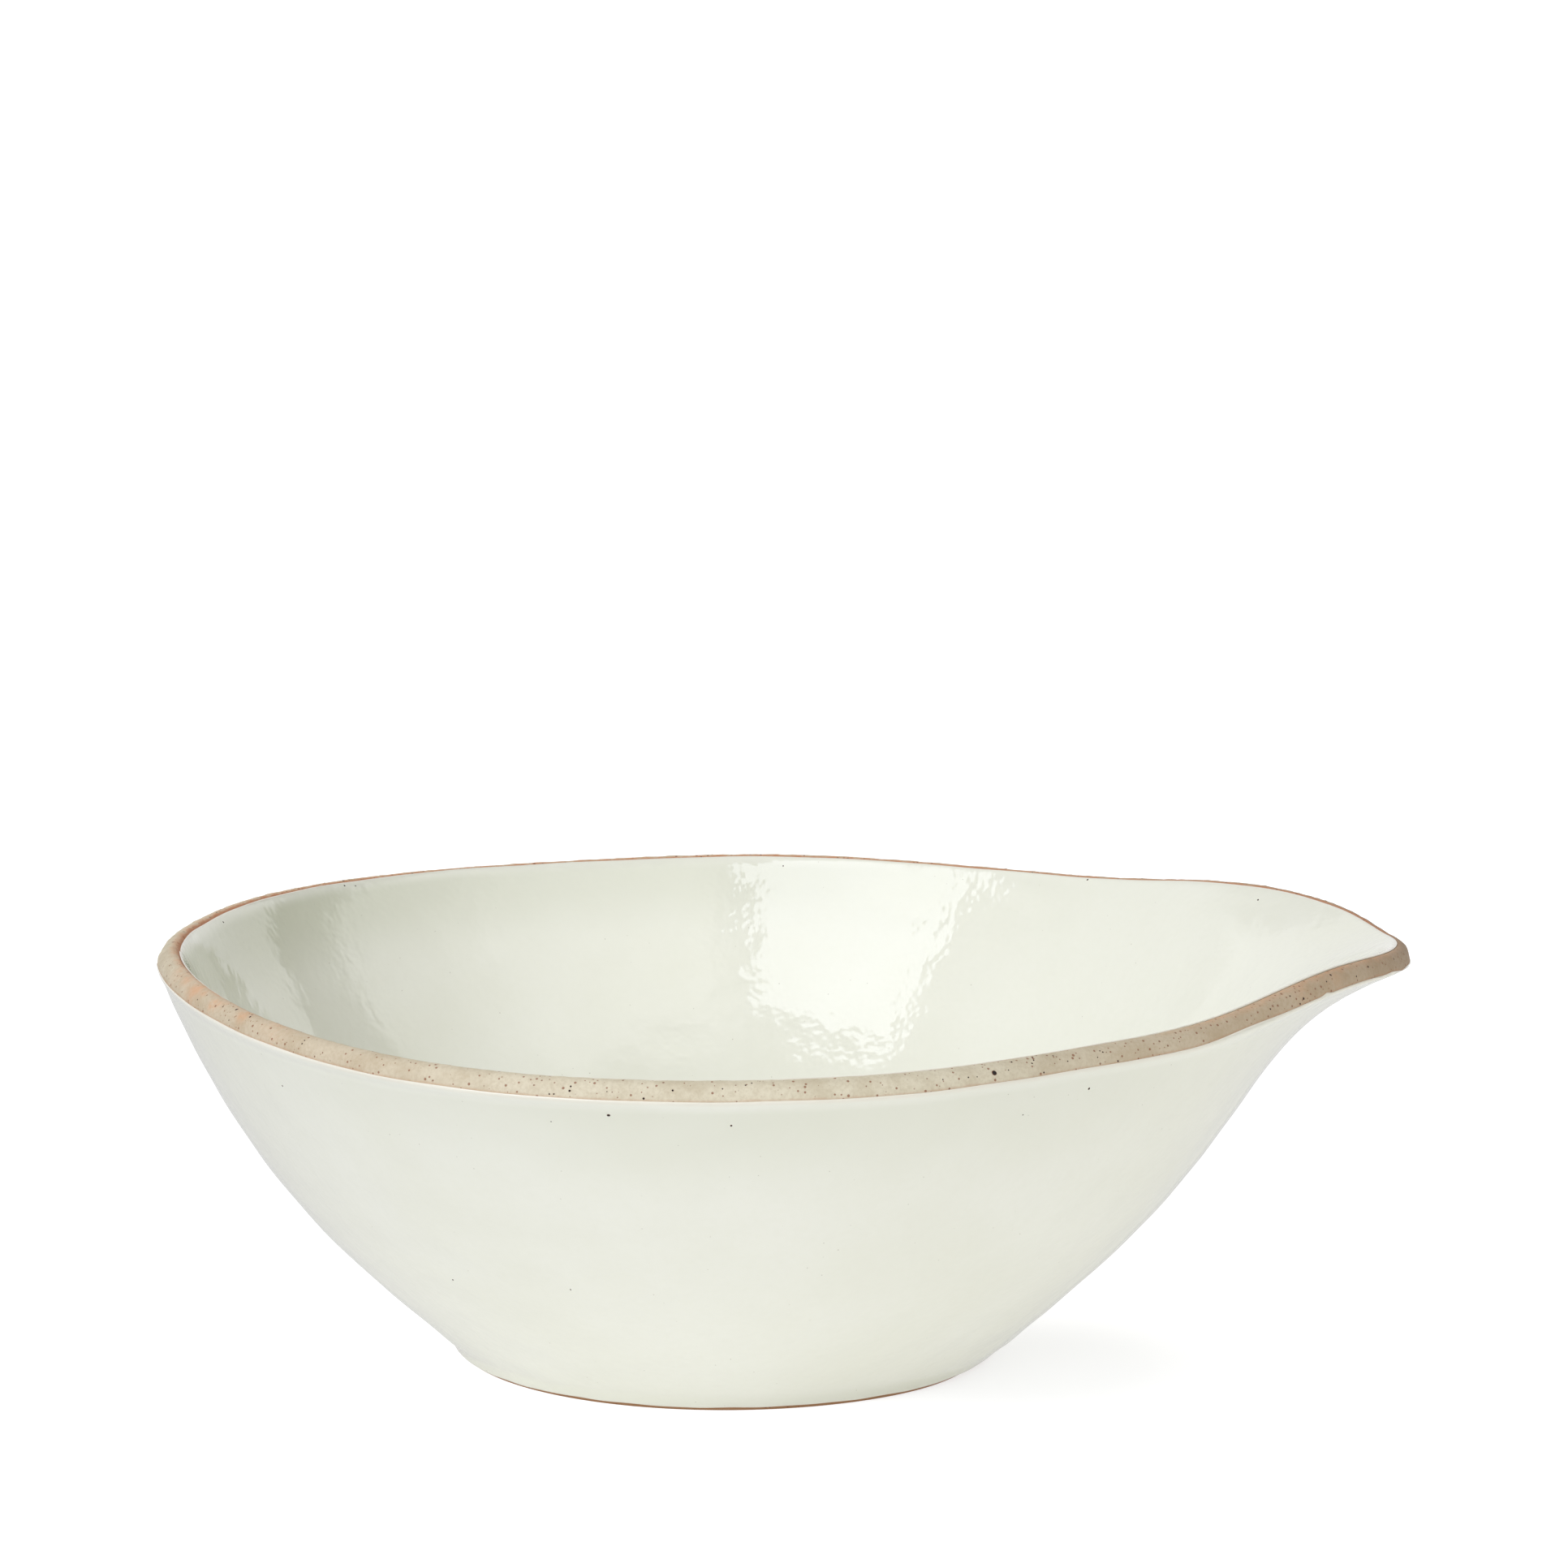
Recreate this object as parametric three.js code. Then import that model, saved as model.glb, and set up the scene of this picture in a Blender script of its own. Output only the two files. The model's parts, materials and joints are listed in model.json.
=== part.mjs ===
// A stoneware salad bowl with a pulled spout: a clay body with a bare rim and a bare foot,
// and three coats of glaze, inside, outside and under the base.
// Millimetres, +Z up, the spout towards +X, angles in degrees from the spout.
import * as THREE from 'three';

// Rim seen from above: a circle with a spout, pinched beside the spout and a little full behind
const RIM_RADIUS = 140;
const SPOUT_REACH = 28.2;
const SPOUT_SPREAD = 25.4;
const PINCH_DEPTH = 3.8;
const PINCH_ANGLE = 59.6;
const PINCH_SPREAD = 14.2;
const SWELL_DEPTH = 2.5;
const SWELL_ANGLE = 122;
const SWELL_SPREAD = 25;

// Rim seen from the side: the crest lifts on both flanks of the spout and at the back
const RIM_HEIGHT = 96.4;
const FLANK_LIFT = 4.7;
const FLANK_ANGLE = 21;
const FLANK_SPREAD = 14.6;
const BACK_LIFT = 6.7;
const BACK_SPREAD = 41;

// Lip: its widest line is below the crest and outside it, and stands proud of the wall
const LIP_RISE = 4.8;
const LIP_INSET = 3.6;
const LIP_PROUD = 0.7;
const LIP_INNER_ROUND = 1.8;
const SPOUT_LIP_THINNING = 1.8;

// Wall: its outline leaves the foot and meets the lip at these slopes
const WALL_LOW_SLOPE = 43;
const WALL_LOW_PULL = 30;
const WALL_HIGH_SLOPE = 63.4;
const WALL_HIGH_PULL = 59;
const WALL_THICKNESS = 5.8;
const SPOUT_THINNING = 1.6;
const SPOUT_FADE = 10.6;
const SPOUT_LOW_SHARE = 0.14;
const LIFT_FADE = 4.5;

// Foot ring and base
const FOOT_RADIUS = 67.6;
const FOOT_FLARE = 2.2;
const FOOT_HEIGHT = 4;
const FOOT_WIDTH = 7.5;
const RECESS_DEPTH = 2.6;
const RECESS_FLARE = 1.5;
const BASE_THICKNESS = 5.5;
const FLOOR_BEND = 14;
const FLOOR_FLAT_RADIUS = 32;

// Glaze coats
const GLAZE_THICKNESS = 0.6;
const GLAZE_GAP = 0.05;
const BARE_FOOT = 0.8;
const BARE_BELOW_LIP = 0.4;
const BARE_INSIDE_LIP = 1.9;
const BASE_GLAZE_MARGIN = 2;

// Fineness of the mesh
const COLUMNS = 68;
const CROWDING = 1.15;
const WALL_ROWS = 12;
const LIP_ROWS = 5;
const FLOOR_ROWS = 5;

// Small step for slopes, in degrees around and as a share of the wall upwards
const STEP = 1e-3;

const CLAY = { color: 0xc4b393, roughness: 0.85, metalness: 0 };
const GLAZE = { color: 0xe8e9de, roughness: 0.12, metalness: 0 };

const WALL_TOP = RIM_HEIGHT - LIP_RISE;
const UP = new THREE.Vector3(0, 0, 1);

// Columns stand closer together at the spout, one of them at its middle and one straight behind
const columns = Array.from({ length: COLUMNS }, (_, i) => {
  const share = (2 * i) / COLUMNS - 1;
  return 180 * Math.sign(share) * Math.abs(share) ** CROWDING;
});

function bell(angle, centre, spread) {
  const hump = (middle) => Math.exp(-(((angle - middle) / spread) ** 2));
  return centre === 0 ? hump(0) : hump(centre) + hump(-centre);
}

function rimRadius(angle) {
  const spout = SPOUT_REACH * bell(angle, 0, SPOUT_SPREAD);
  const pinch = PINCH_DEPTH * bell(angle, PINCH_ANGLE, PINCH_SPREAD);
  const swell = SWELL_DEPTH * bell(angle, SWELL_ANGLE, SWELL_SPREAD);
  return RIM_RADIUS + spout - pinch + swell;
}

function crestLift(angle) {
  const fromBack = 180 - Math.abs(angle);
  return FLANK_LIFT * bell(angle, FLANK_ANGLE, FLANK_SPREAD) + BACK_LIFT * bell(fromBack, 0, BACK_SPREAD);
}

function polar(radius, angle, z) {
  const turn = THREE.MathUtils.degToRad(angle);
  return new THREE.Vector3(radius * Math.cos(turn), radius * Math.sin(turn), z);
}

function onAxis(z) {
  return new THREE.Vector3(0, 0, z);
}

// The wall's outline away from the spout
function sloped(slope, length) {
  const turn = THREE.MathUtils.degToRad(slope);
  return new THREE.Vector2(length * Math.cos(turn), length * Math.sin(turn));
}

const wallFoot = new THREE.Vector2(FOOT_RADIUS + FOOT_FLARE, FOOT_HEIGHT);
const wallTop = new THREE.Vector2(RIM_RADIUS - LIP_PROUD, WALL_TOP);
const wallOutline = new THREE.CubicBezierCurve(
  wallFoot,
  wallFoot.clone().add(sloped(WALL_LOW_SLOPE, WALL_LOW_PULL)),
  wallTop.clone().sub(sloped(WALL_HIGH_SLOPE, WALL_HIGH_PULL)),
  wallTop,
);

// The clay's outer face, with along 0 at the foot and 1 at the lip
function outside(angle, along) {
  const plain = wallOutline.getPoint(along);
  const share = Math.max(0, (plain.y - FOOT_HEIGHT) / (WALL_TOP - FOOT_HEIGHT));
  const pull = SPOUT_LOW_SHARE * share + (1 - SPOUT_LOW_SHARE) * share ** SPOUT_FADE;
  const radius = plain.x + (rimRadius(angle) - RIM_RADIUS) * pull;
  return polar(radius, angle, plain.y + crestLift(angle) * share ** LIFT_FADE);
}

function outward(angle, along) {
  const around = outside(angle + STEP, along).sub(outside(angle - STEP, along));
  const upward = outside(angle, along + STEP).sub(outside(angle, along - STEP));
  return around.cross(upward).normalize();
}

function outsideRing(along, lift) {
  return columns.map((angle) => outside(angle, along).addScaledVector(outward(angle, along), lift));
}

// Points of the lip, measured from its widest line
function lipPoint(angle, inset, rise) {
  const edge = (turn) => polar(rimRadius(turn), turn, WALL_TOP + crestLift(turn));
  const around = edge(angle + STEP).sub(edge(angle - STEP)).setZ(0);
  const inward = UP.clone().cross(around).normalize();
  return edge(angle).addScaledVector(inward, inset).addScaledVector(UP, rise);
}

function lipInset(angle) {
  return LIP_INSET - SPOUT_LIP_THINNING * bell(angle, 0, SPOUT_SPREAD);
}

function lipRing(turn) {
  return columns.map((angle) => {
    const inset = lipInset(angle) * (1 - Math.cos(turn));
    return lipPoint(angle, inset, LIP_RISE * Math.sin(turn));
  });
}

// The inner face: the lip's inner rounding, the wall and the floor, lifted off the clay by a glaze coat
const outlineLength = wallOutline.getLength();
const lipStart = 1 - LIP_RISE / outlineLength;
const floorStart = FLOOR_BEND / outlineLength;
const floorHeight = RECESS_DEPTH + BASE_THICKNESS;

function thickness(angle, along) {
  return WALL_THICKNESS - SPOUT_THINNING * bell(angle, 0, SPOUT_SPREAD) * along;
}

function insideWall(angle, along, lift) {
  const depth = thickness(angle, along) + lift;
  return outside(angle, along).addScaledVector(outward(angle, along), -depth);
}

function upInside(angle, along, lift) {
  const below = insideWall(angle, along - STEP, lift);
  return insideWall(angle, along + STEP, lift).sub(below).normalize();
}

function insideLip(angle, lift) {
  const crest = lipPoint(angle, lipInset(angle), LIP_RISE + lift);
  const over = lipPoint(angle, lipInset(angle) + LIP_INNER_ROUND, LIP_RISE + lift);
  const end = insideWall(angle, lipStart, lift);
  const under = end.clone().addScaledVector(upInside(angle, lipStart, lift), LIP_RISE);
  return new THREE.CubicBezierCurve3(crest, over, under, end);
}

function insideFloor(angle, lift) {
  const edge = insideWall(angle, floorStart, lift);
  const bend = edge.clone().addScaledVector(upInside(angle, floorStart, lift), -FLOOR_BEND);
  const level = polar(FLOOR_FLAT_RADIUS, angle, floorHeight + lift);
  return new THREE.CubicBezierCurve3(edge, bend, level, onAxis(floorHeight + lift));
}

// Rows from the glaze's upper edge down to the floor's middle
const glazeEdge = BARE_INSIDE_LIP / (LIP_INNER_ROUND + LIP_RISE);

function insideLipRing(share, lift) {
  return columns.map((angle) => insideLip(angle, lift).getPoint(share));
}

function insideRings(lift) {
  const rings = [];
  for (let i = 0; i < LIP_ROWS; i += 1) {
    rings.push(insideLipRing(THREE.MathUtils.lerp(glazeEdge, 1, i / LIP_ROWS), lift));
  }
  for (let i = 0; i < WALL_ROWS; i += 1) {
    const along = THREE.MathUtils.lerp(lipStart, floorStart, i / WALL_ROWS);
    rings.push(columns.map((angle) => insideWall(angle, along, lift)));
  }
  for (let i = 0; i < FLOOR_ROWS; i += 1) {
    rings.push(columns.map((angle) => insideFloor(angle, lift).getPoint(i / FLOOR_ROWS)));
  }
  return rings;
}

function flatRing(radius, z) {
  return columns.map((angle) => polar(radius, angle, z));
}

// A closed skin over rings of points, with a middle point at each end, or else joined end to end.
// A sheet whose rings run backwards splits its squares the other way, to match the sheet that it lies on.
function skin(sheets, start, end) {
  const rings = sheets.flatMap((sheet) => sheet.rings);
  const backwards = sheets.flatMap((sheet) => sheet.rings.map(() => sheet.backwards));
  const points = rings.flat();
  const faces = [];
  const spans = start ? rings.length - 1 : rings.length;
  for (let row = 0; row < spans; row += 1) {
    const here = row * COLUMNS;
    const next = ((row + 1) % rings.length) * COLUMNS;
    for (let i = 0; i < COLUMNS; i += 1) {
      const j = (i + 1) % COLUMNS;
      const [a, b, c, d] = [here + i, here + j, next + j, next + i];
      faces.push(...(backwards[row] ? [a, b, d, b, c, d] : [a, b, c, a, c, d]));
    }
  }
  if (start) {
    const last = (rings.length - 1) * COLUMNS;
    const middle = points.push(start, end) - 2;
    for (let i = 0; i < COLUMNS; i += 1) {
      const j = (i + 1) % COLUMNS;
      faces.push(middle, j, i, middle + 1, last + i, last + j);
    }
  }
  const geometry = new THREE.BufferGeometry().setFromPoints(points);
  geometry.setIndex(faces);
  geometry.computeVertexNormals();
  return geometry;
}

function piece(name, geometry, look) {
  const mesh = new THREE.Mesh(geometry, new THREE.MeshStandardMaterial(look));
  mesh.name = name;
  return mesh;
}

const footInner = FOOT_RADIUS - FOOT_WIDTH;
const footSlope = FOOT_FLARE / FOOT_HEIGHT;
const glazeTop = 1 - BARE_BELOW_LIP / outlineLength;

const wallRows = Array.from({ length: WALL_ROWS + 1 }, (_, i) => {
  return glazeTop * (1 - (1 - i / WALL_ROWS) ** CROWDING);
});

function stonewareBody() {
  const rings = [
    flatRing(footInner - RECESS_FLARE, RECESS_DEPTH),
    flatRing(footInner, 0),
    flatRing(FOOT_RADIUS, 0),
  ];
  [...wallRows, 1].forEach((along) => rings.push(outsideRing(along, 0)));
  for (let i = 0; i < LIP_ROWS; i += 1) {
    rings.push(lipRing((Math.PI / 2) * (i / LIP_ROWS)));
  }
  rings.push(insideLipRing(0, 0), insideLipRing(glazeEdge / 2, 0), ...insideRings(0));
  return piece('stoneware_body', skin([{ rings }], onAxis(RECESS_DEPTH), onAxis(floorHeight)), CLAY);
}

function outsideGlaze() {
  const coat = (lift) => [
    flatRing(FOOT_RADIUS + footSlope * BARE_FOOT + lift, BARE_FOOT),
    ...wallRows.map((along) => outsideRing(along, lift)),
  ];
  const face = { rings: coat(GLAZE_GAP + GLAZE_THICKNESS) };
  const back = { rings: coat(GLAZE_GAP).reverse(), backwards: true };
  return piece('outside_glaze', skin([face, back]), GLAZE);
}

function insideGlaze() {
  const top = GLAZE_GAP + GLAZE_THICKNESS;
  const back = { rings: insideRings(GLAZE_GAP).reverse(), backwards: true };
  const face = { rings: insideRings(top) };
  const geometry = skin([back, face], onAxis(floorHeight + GLAZE_GAP), onAxis(floorHeight + top));
  return piece('inside_glaze', geometry, GLAZE);
}

function baseGlaze() {
  const edge = footInner - RECESS_FLARE - BASE_GLAZE_MARGIN;
  const top = RECESS_DEPTH - GLAZE_GAP;
  const rings = [flatRing(edge, top - GLAZE_THICKNESS), flatRing(edge, top)];
  return piece('base_glaze', skin([{ rings }], onAxis(top - GLAZE_THICKNESS), onAxis(top)), GLAZE);
}

// The bowl stands on z = 0 with the middle of its length over the origin
const bowl = new THREE.Group();
bowl.add(stonewareBody(), insideGlaze(), outsideGlaze(), baseGlaze());
bowl.position.x = (rimRadius(180) - rimRadius(0)) / 2;

export default bowl;
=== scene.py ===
"""Looks of a stoneware salad bowl with a pulled spout: bare speckled clay at the rim and the foot,
and pale glossy glaze inside, outside and under the base. Metres, +Z up, the spout towards +X."""

import json
import math

import bpy
import numpy as np
from bpy.props import FloatProperty, FloatVectorProperty, IntProperty, PointerProperty
from mathutils import Matrix, Vector

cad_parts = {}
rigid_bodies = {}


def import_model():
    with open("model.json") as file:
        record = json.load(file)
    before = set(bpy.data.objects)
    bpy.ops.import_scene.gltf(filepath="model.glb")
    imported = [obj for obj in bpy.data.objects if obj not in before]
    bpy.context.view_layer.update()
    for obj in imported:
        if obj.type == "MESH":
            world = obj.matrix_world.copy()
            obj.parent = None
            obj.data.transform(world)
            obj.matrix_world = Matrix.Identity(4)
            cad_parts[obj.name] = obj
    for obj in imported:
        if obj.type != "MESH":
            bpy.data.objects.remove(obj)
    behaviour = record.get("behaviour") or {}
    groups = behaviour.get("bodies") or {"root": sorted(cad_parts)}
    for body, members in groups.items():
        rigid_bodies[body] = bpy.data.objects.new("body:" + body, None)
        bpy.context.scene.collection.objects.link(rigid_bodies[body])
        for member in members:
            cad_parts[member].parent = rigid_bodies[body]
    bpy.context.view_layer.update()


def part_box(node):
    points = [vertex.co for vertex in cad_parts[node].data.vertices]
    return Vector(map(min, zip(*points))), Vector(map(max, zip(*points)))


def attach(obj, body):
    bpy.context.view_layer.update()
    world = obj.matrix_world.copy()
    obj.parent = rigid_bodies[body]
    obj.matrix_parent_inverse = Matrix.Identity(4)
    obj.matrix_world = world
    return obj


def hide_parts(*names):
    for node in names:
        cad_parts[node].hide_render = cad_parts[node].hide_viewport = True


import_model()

BASE_LOW, BASE_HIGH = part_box("base_glaze")
AXIS = Vector(((BASE_LOW.x + BASE_HIGH.x) / 2, 0, 0))

bl_info = {
    "name": "Salad bowl",
    "version": (1, 0, 0),
    "blender": (4, 5, 0),
    "location": "View3D > Sidebar > Salad bowl",
    "description": "A glazed stoneware salad bowl with a pulled spout",
    "category": "Add Mesh",
}

MM = 0.001
PHOTO_SIZE = 1932
SENSOR_WIDTH = 36.0

# Small steps for slopes, in radians around and in metres upwards
TURN_STEP = 1e-4
RISE_STEP = 1e-5

# Iron specks that show in the photograph: pixel across, pixel down, radius in millimetres
RIM_SPECKS = (
    (1225, 1322, 0.62), (1246.4, 1308.6, 0.26), (1272, 1303, 0.26), (1273.6, 1306.4, 0.24), (1271.6, 1310.2, 0.2),
    (1277.2, 1300.8, 0.2), (1286.2, 1321.5, 0.24), (1297.4, 1300.8, 0.18), (1355.2, 1294.8, 0.2),
    (1358.8, 1296.4, 0.2), (1352.4, 1302.8, 0.18), (1242.6, 1318.6, 0.18), (1193.2, 1327.5, 0.2),
    (1161.8, 1330.2, 0.2), (1204, 1326.8, 0.16), (1315.6, 1307.6, 0.18), (1377.5, 1307.4, 0.22),
    (703.2, 1338.6, 0.27), (701.8, 1344, 0.28), (828.8, 1343.6, 0.28), (676.8, 1348, 0.22), (682.4, 1348, 0.2),
    (747.9, 1345, 0.16), (918.6, 1337.2, 0.2), (926.2, 1334.6, 0.2), (890.2, 1341.6, 0.2), (793, 1353.6, 0.3),
    (291.2, 1243.9, 0.3), (308.2, 1252.9, 0.3), (274.7, 1240.3, 0.22), (243.3, 1231.7, 0.2), (375.3, 1282, 0.22),
    (372.2, 1286, 0.22), (282, 1257, 0.2), (1685.7, 1191.2, 0.32), (1671.3, 1203, 0.26), (1639.5, 1201.3, 0.34),
    (1634.5, 1209.5, 0.24), (1606.2, 1230.4, 0.36), (1602, 1237, 0.28), (1717.3, 1181.6, 0.26),
    (1565.3, 1243.3, 0.22), (1589.5, 1227.3, 0.24),
)
GLAZE_SPECKS = (
    (749.8, 1374.2, 0.4), (901, 1387, 0.28), (1341.8, 1341.4, 0.34), (348, 1338, 0.26), (558, 1577, 0.24),
    (703, 1589, 0.24), (1260.4, 1373.6, 0.18), (679, 1382, 0.15), (1550, 1108.8, 0.3), (1340, 1084, 0.24),
    (275.2, 1136.2, 0.3), (424.5, 1091.3, 0.24), (438, 1091.5, 0.18), (965, 1067, 0.2),
)

# Orange blushes on the bare rim: pixel across, pixel down, spread in millimetres, strength
RIM_BLUSHES = (
    (243, 1218, 4.0, 0.6), (263, 1238, 1.8, 0.75), (301, 1250, 2.2, 0.6), (228, 1196, 4.0, 0.35),
    (230, 1170, 5.0, 0.3), (345, 1264, 5.0, 0.25), (1640, 1200, 3.0, 0.3), (1600, 1218, 3.0, 0.3),
    (232, 1206, 2.4, 0.6), (251, 1222, 2.2, 0.6), (275, 1236, 1.8, 0.55),
)

# Where the rim, drawn by hand, leaves its even shape: turn and spread in degrees, lift and reach in millimetres
UNEVEN_RIM = (
    (104, 20, -0.8, 0.0), (164, 16, -1.3, -0.8), (4, 5, -0.9, -0.5), (42, 14, -0.4, 0.0), (-80, 55, -0.3, 0.0),
)

# Width of the bare strip inside the crest around the bowl: turn in degrees, width in millimetres
BARE_INSIDE = (
    (-180, 1.9), (-130, 1.6), (-90, 1.2), (-40, 0.9), (-15, 0.45), (5, 0.45), (14, 0.9), (25, 1.2), (95, 1.4),
    (115, 1.2), (140, 1.3), (160, 1.5), (172, 1.75), (180, 1.9),
)

# Where the outside glaze climbs the lip: turn and spread in degrees, height in millimetres
GLAZE_RUNS = ((-24.6, 0.5, 0.5), (-12.5, 1.1, 0.3), (-9.5, 0.9, -0.3), (-36, 5, 0.6))

# How much painted shade darkens the glaze under the rim around the bowl, outside and inside: turn in degrees, share
OUTSIDE_RIM_SHADE = ((-180, 0.4), (-135, 0.5), (-95, 1.0), (-65, 0.5), (-45, 0.25), (180, 0.4))
INSIDE_RIM_SHADE = (
    (-180, 1.0), (-150, 0.8), (-90, 0.5), (-40, 0.0), (40, 0.0), (75, 0.4), (110, 0.7), (140, 1.0), (180, 1.0),
)

# How strong the orange line along the inside glaze is: turn in degrees, share
FLASHING = ((-180, 1.0), (-60, 1.0), (-45, 0.1), (-2, 0.1), (6, 1.0), (180, 1.0))

# How much the rim blushes beside that line: turn in degrees, share
LINE_BLUSH = (
    (-180, 1.0), (-158, 0.9), (-150, 0.35), (-140, 0.0), (-52, 0.0), (-40, 0.6), (-15, 0.6), (-7, 0.15), (20, 0.0),
    (60, 0.6), (180, 1.0),
)

# How strong that blush is, and how far from the line it reaches in millimetres
LINE_BLUSH_STRENGTH, LINE_BLUSH_REACH = 0.9, 3.5

# Browner clay: strength and spread at the spout, partly fire browning and partly painted shade on its side away from
# the softbox, and strength, turn and spread at the back, in degrees
SPOUT_TOAST_AND_SHADE, SPOUT_TOAST_AND_SHADE_SPREAD = 0.45, 58
BACK_TOAST, BACK_TOAST_TURN, BACK_TOAST_SPREAD = 0.3, -150, 32

# Painted shade on the spout's tip, which faces away from the softbox: strength, and spread in degrees
TIP_SHADE, TIP_SHADE_SPREAD = 0.75, 15

# Bare clay below this height is the foot, and above the other one the rim
FOOT_TOP, RIM_BOTTOM = 8 * MM, 20 * MM

# Distance given to points that are far from any edge, of the clay and of a coat
CLAY_FAR, COAT_FAR = 99 * MM, 50 * MM

# Widths beside a coat's edge: of its bead, of the thinner glaze under the rim, and of the stretch that stays even
BEAD_WIDTH, THINNING_REACH, EVEN_REACH = 0.9 * MM, 2.4 * MM, 5 * MM

# Humps of the bare clay: spacing and seed; and how far from the glaze they start
CLAY_HUMPS, HUMPS_START = ((2.6 * MM, 21), (7 * MM, 22)), 0.8 * MM

# How far throwing rings drift, and over what distance
RING_DRIFT, RING_DRIFT_SPACING = 1.3, 60 * MM

# Soft clouds in the glaze, and how much deeper its colour gets in them; and its finest clouds, and how much they show
CLOUD_SPACING, CLOUD_DEPTH, HAZE_SPACING, HAZE_SHARE = 45 * MM, 0.35, 2.2 * MM, 0.12

# Where painted shade starts under the rim, and where pooled glaze lies over the foot, in millimetres; and how much of
# the pooled glaze shows there
RIM_SHADE_START, FOOT_POOL, FOOT_POOL_SHARE = (0.8, 2.5), (0.5, 7.0), 0.22

# Dots: spacing, least and largest radius in millimetres, chance; and how strongly they show
FRECKLES, FRECKLE_SHARE = (3.2, 0.06, 0.22, 0.9), 0.55
RUSTY_GRAINS, RUSTY_SHARE = (1.4, 0.14, 0.4, 0.85), 0.85
DARK_GRAINS, DARK_SHARE = (2.2, 0.18, 0.34, 0.5), 0.8
DOT_SOFTNESS = 0.08 * MM

# Thin glaze along an edge: width in millimetres, and how strongly it shows
THIN_WIDTH, THIN_SHARE = 0.9, 0.85

# Ripples of the glaze: distance in millimetres, share of their height
RIPPLES = ((3.0, 1.0), (5.5, 1.4), (1.5, 0.75))

# Least and largest roughness of glaze and clay, and the glaze's index of refraction
GLAZE_ROUGHNESS, CLAY_ROUGHNESS, GLAZE_IOR = (0.05, 0.09), (0.62, 0.82), 1.6

# Clay: spacing and strength of its mottles and of its grain, and the grain's height
MOTTLE_SPACING, MOTTLE_SHARE, GRAIN_SPACING, GRAIN_SHARE, GRAIN_HEIGHT = 9 * MM, 0.55, 0.9 * MM, 0.4, 0.05 * MM

# Iron specks: height as a share of the radius, sides, rings, and how much wider than long
SPECK_FLATNESS, SPECK_SIDES, SPECK_RINGS, SPECK_STRETCH = 0.22, 10, 5, (0.8, 1.25)

# Where hidden specks lie, in metres: behind these distances, on the rim above one height, in the glaze below another
RIM_BEHIND, GLAZE_BEHIND, SPECKS_ON_RIM_FROM, SPECKS_IN_GLAZE_TO = 0.02, 0.03, 0.088, 0.085

# Lit parts of the room: brightness; middle, half width and softness across; low, high and softness up, in degrees
ROOM_PARTS = (
    ("front_light", 39, 39, 16, 34, 62, 12),
    ("front_left_light", -39, 39, 16, 34, 62, 12),
    ("front_low_light", -39, 39, 16, 10, 34, 12),
    ("left_light", -105, 27, 16, 6, 62, 12),
    ("right_light", 95, 17, 8, 24, 62, 8),
    ("backdrop_light", 147.5, 17.5, 2, -6, 27, 6),
    ("backdrop_left_light", 196.5, 31.5, 6, -6, 44, 3),
    ("backdrop_high_light", 178, 50, 8, 44, 62, 3),
    ("ceiling_light", 0, 360, 1, 62, 180, 12),
)

# Where the softbox points
KEY_AIM = Vector((0, 0, 0.06))

# Middle of the shadow on the floor, from the bowl's axis to the right and towards the camera, in metres
SHADOW_RIGHT, SHADOW_NEAR = 0.075, 0.03

# Stretches of the floor over which its light changes, in metres: shadow, mirrored floor, left to right, foot outwards
SHADOW_SPREAD, MIRRORED_SPREAD, BOUNCE_SIDES, BOUNCE_SPREAD = (0.02, 0.09), (0.3, 1.2), (-0.3, 0.3), (0.08, 0.22)

WHITE = (1, 1, 1, 1)


def length(name, millimetres, description):
    return FloatProperty(name=name, description=description, default=millimetres * MM, unit="LENGTH", precision=5)


def angle(name, degrees, description):
    return FloatProperty(name=name, description=description, default=math.radians(degrees), subtype="ANGLE")


def number(name, default, description):
    return FloatProperty(name=name, description=description, default=default, precision=4)


def linear(byte):
    share = byte / 255
    return share / 12.92 if share <= 0.04045 else ((share + 0.055) / 1.055) ** 2.4


def colour(name, red, green, blue, description):
    default = (linear(red), linear(green), linear(blue))
    return FloatVectorProperty(name=name, description=description, default=default, size=3, subtype="COLOR")


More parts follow.
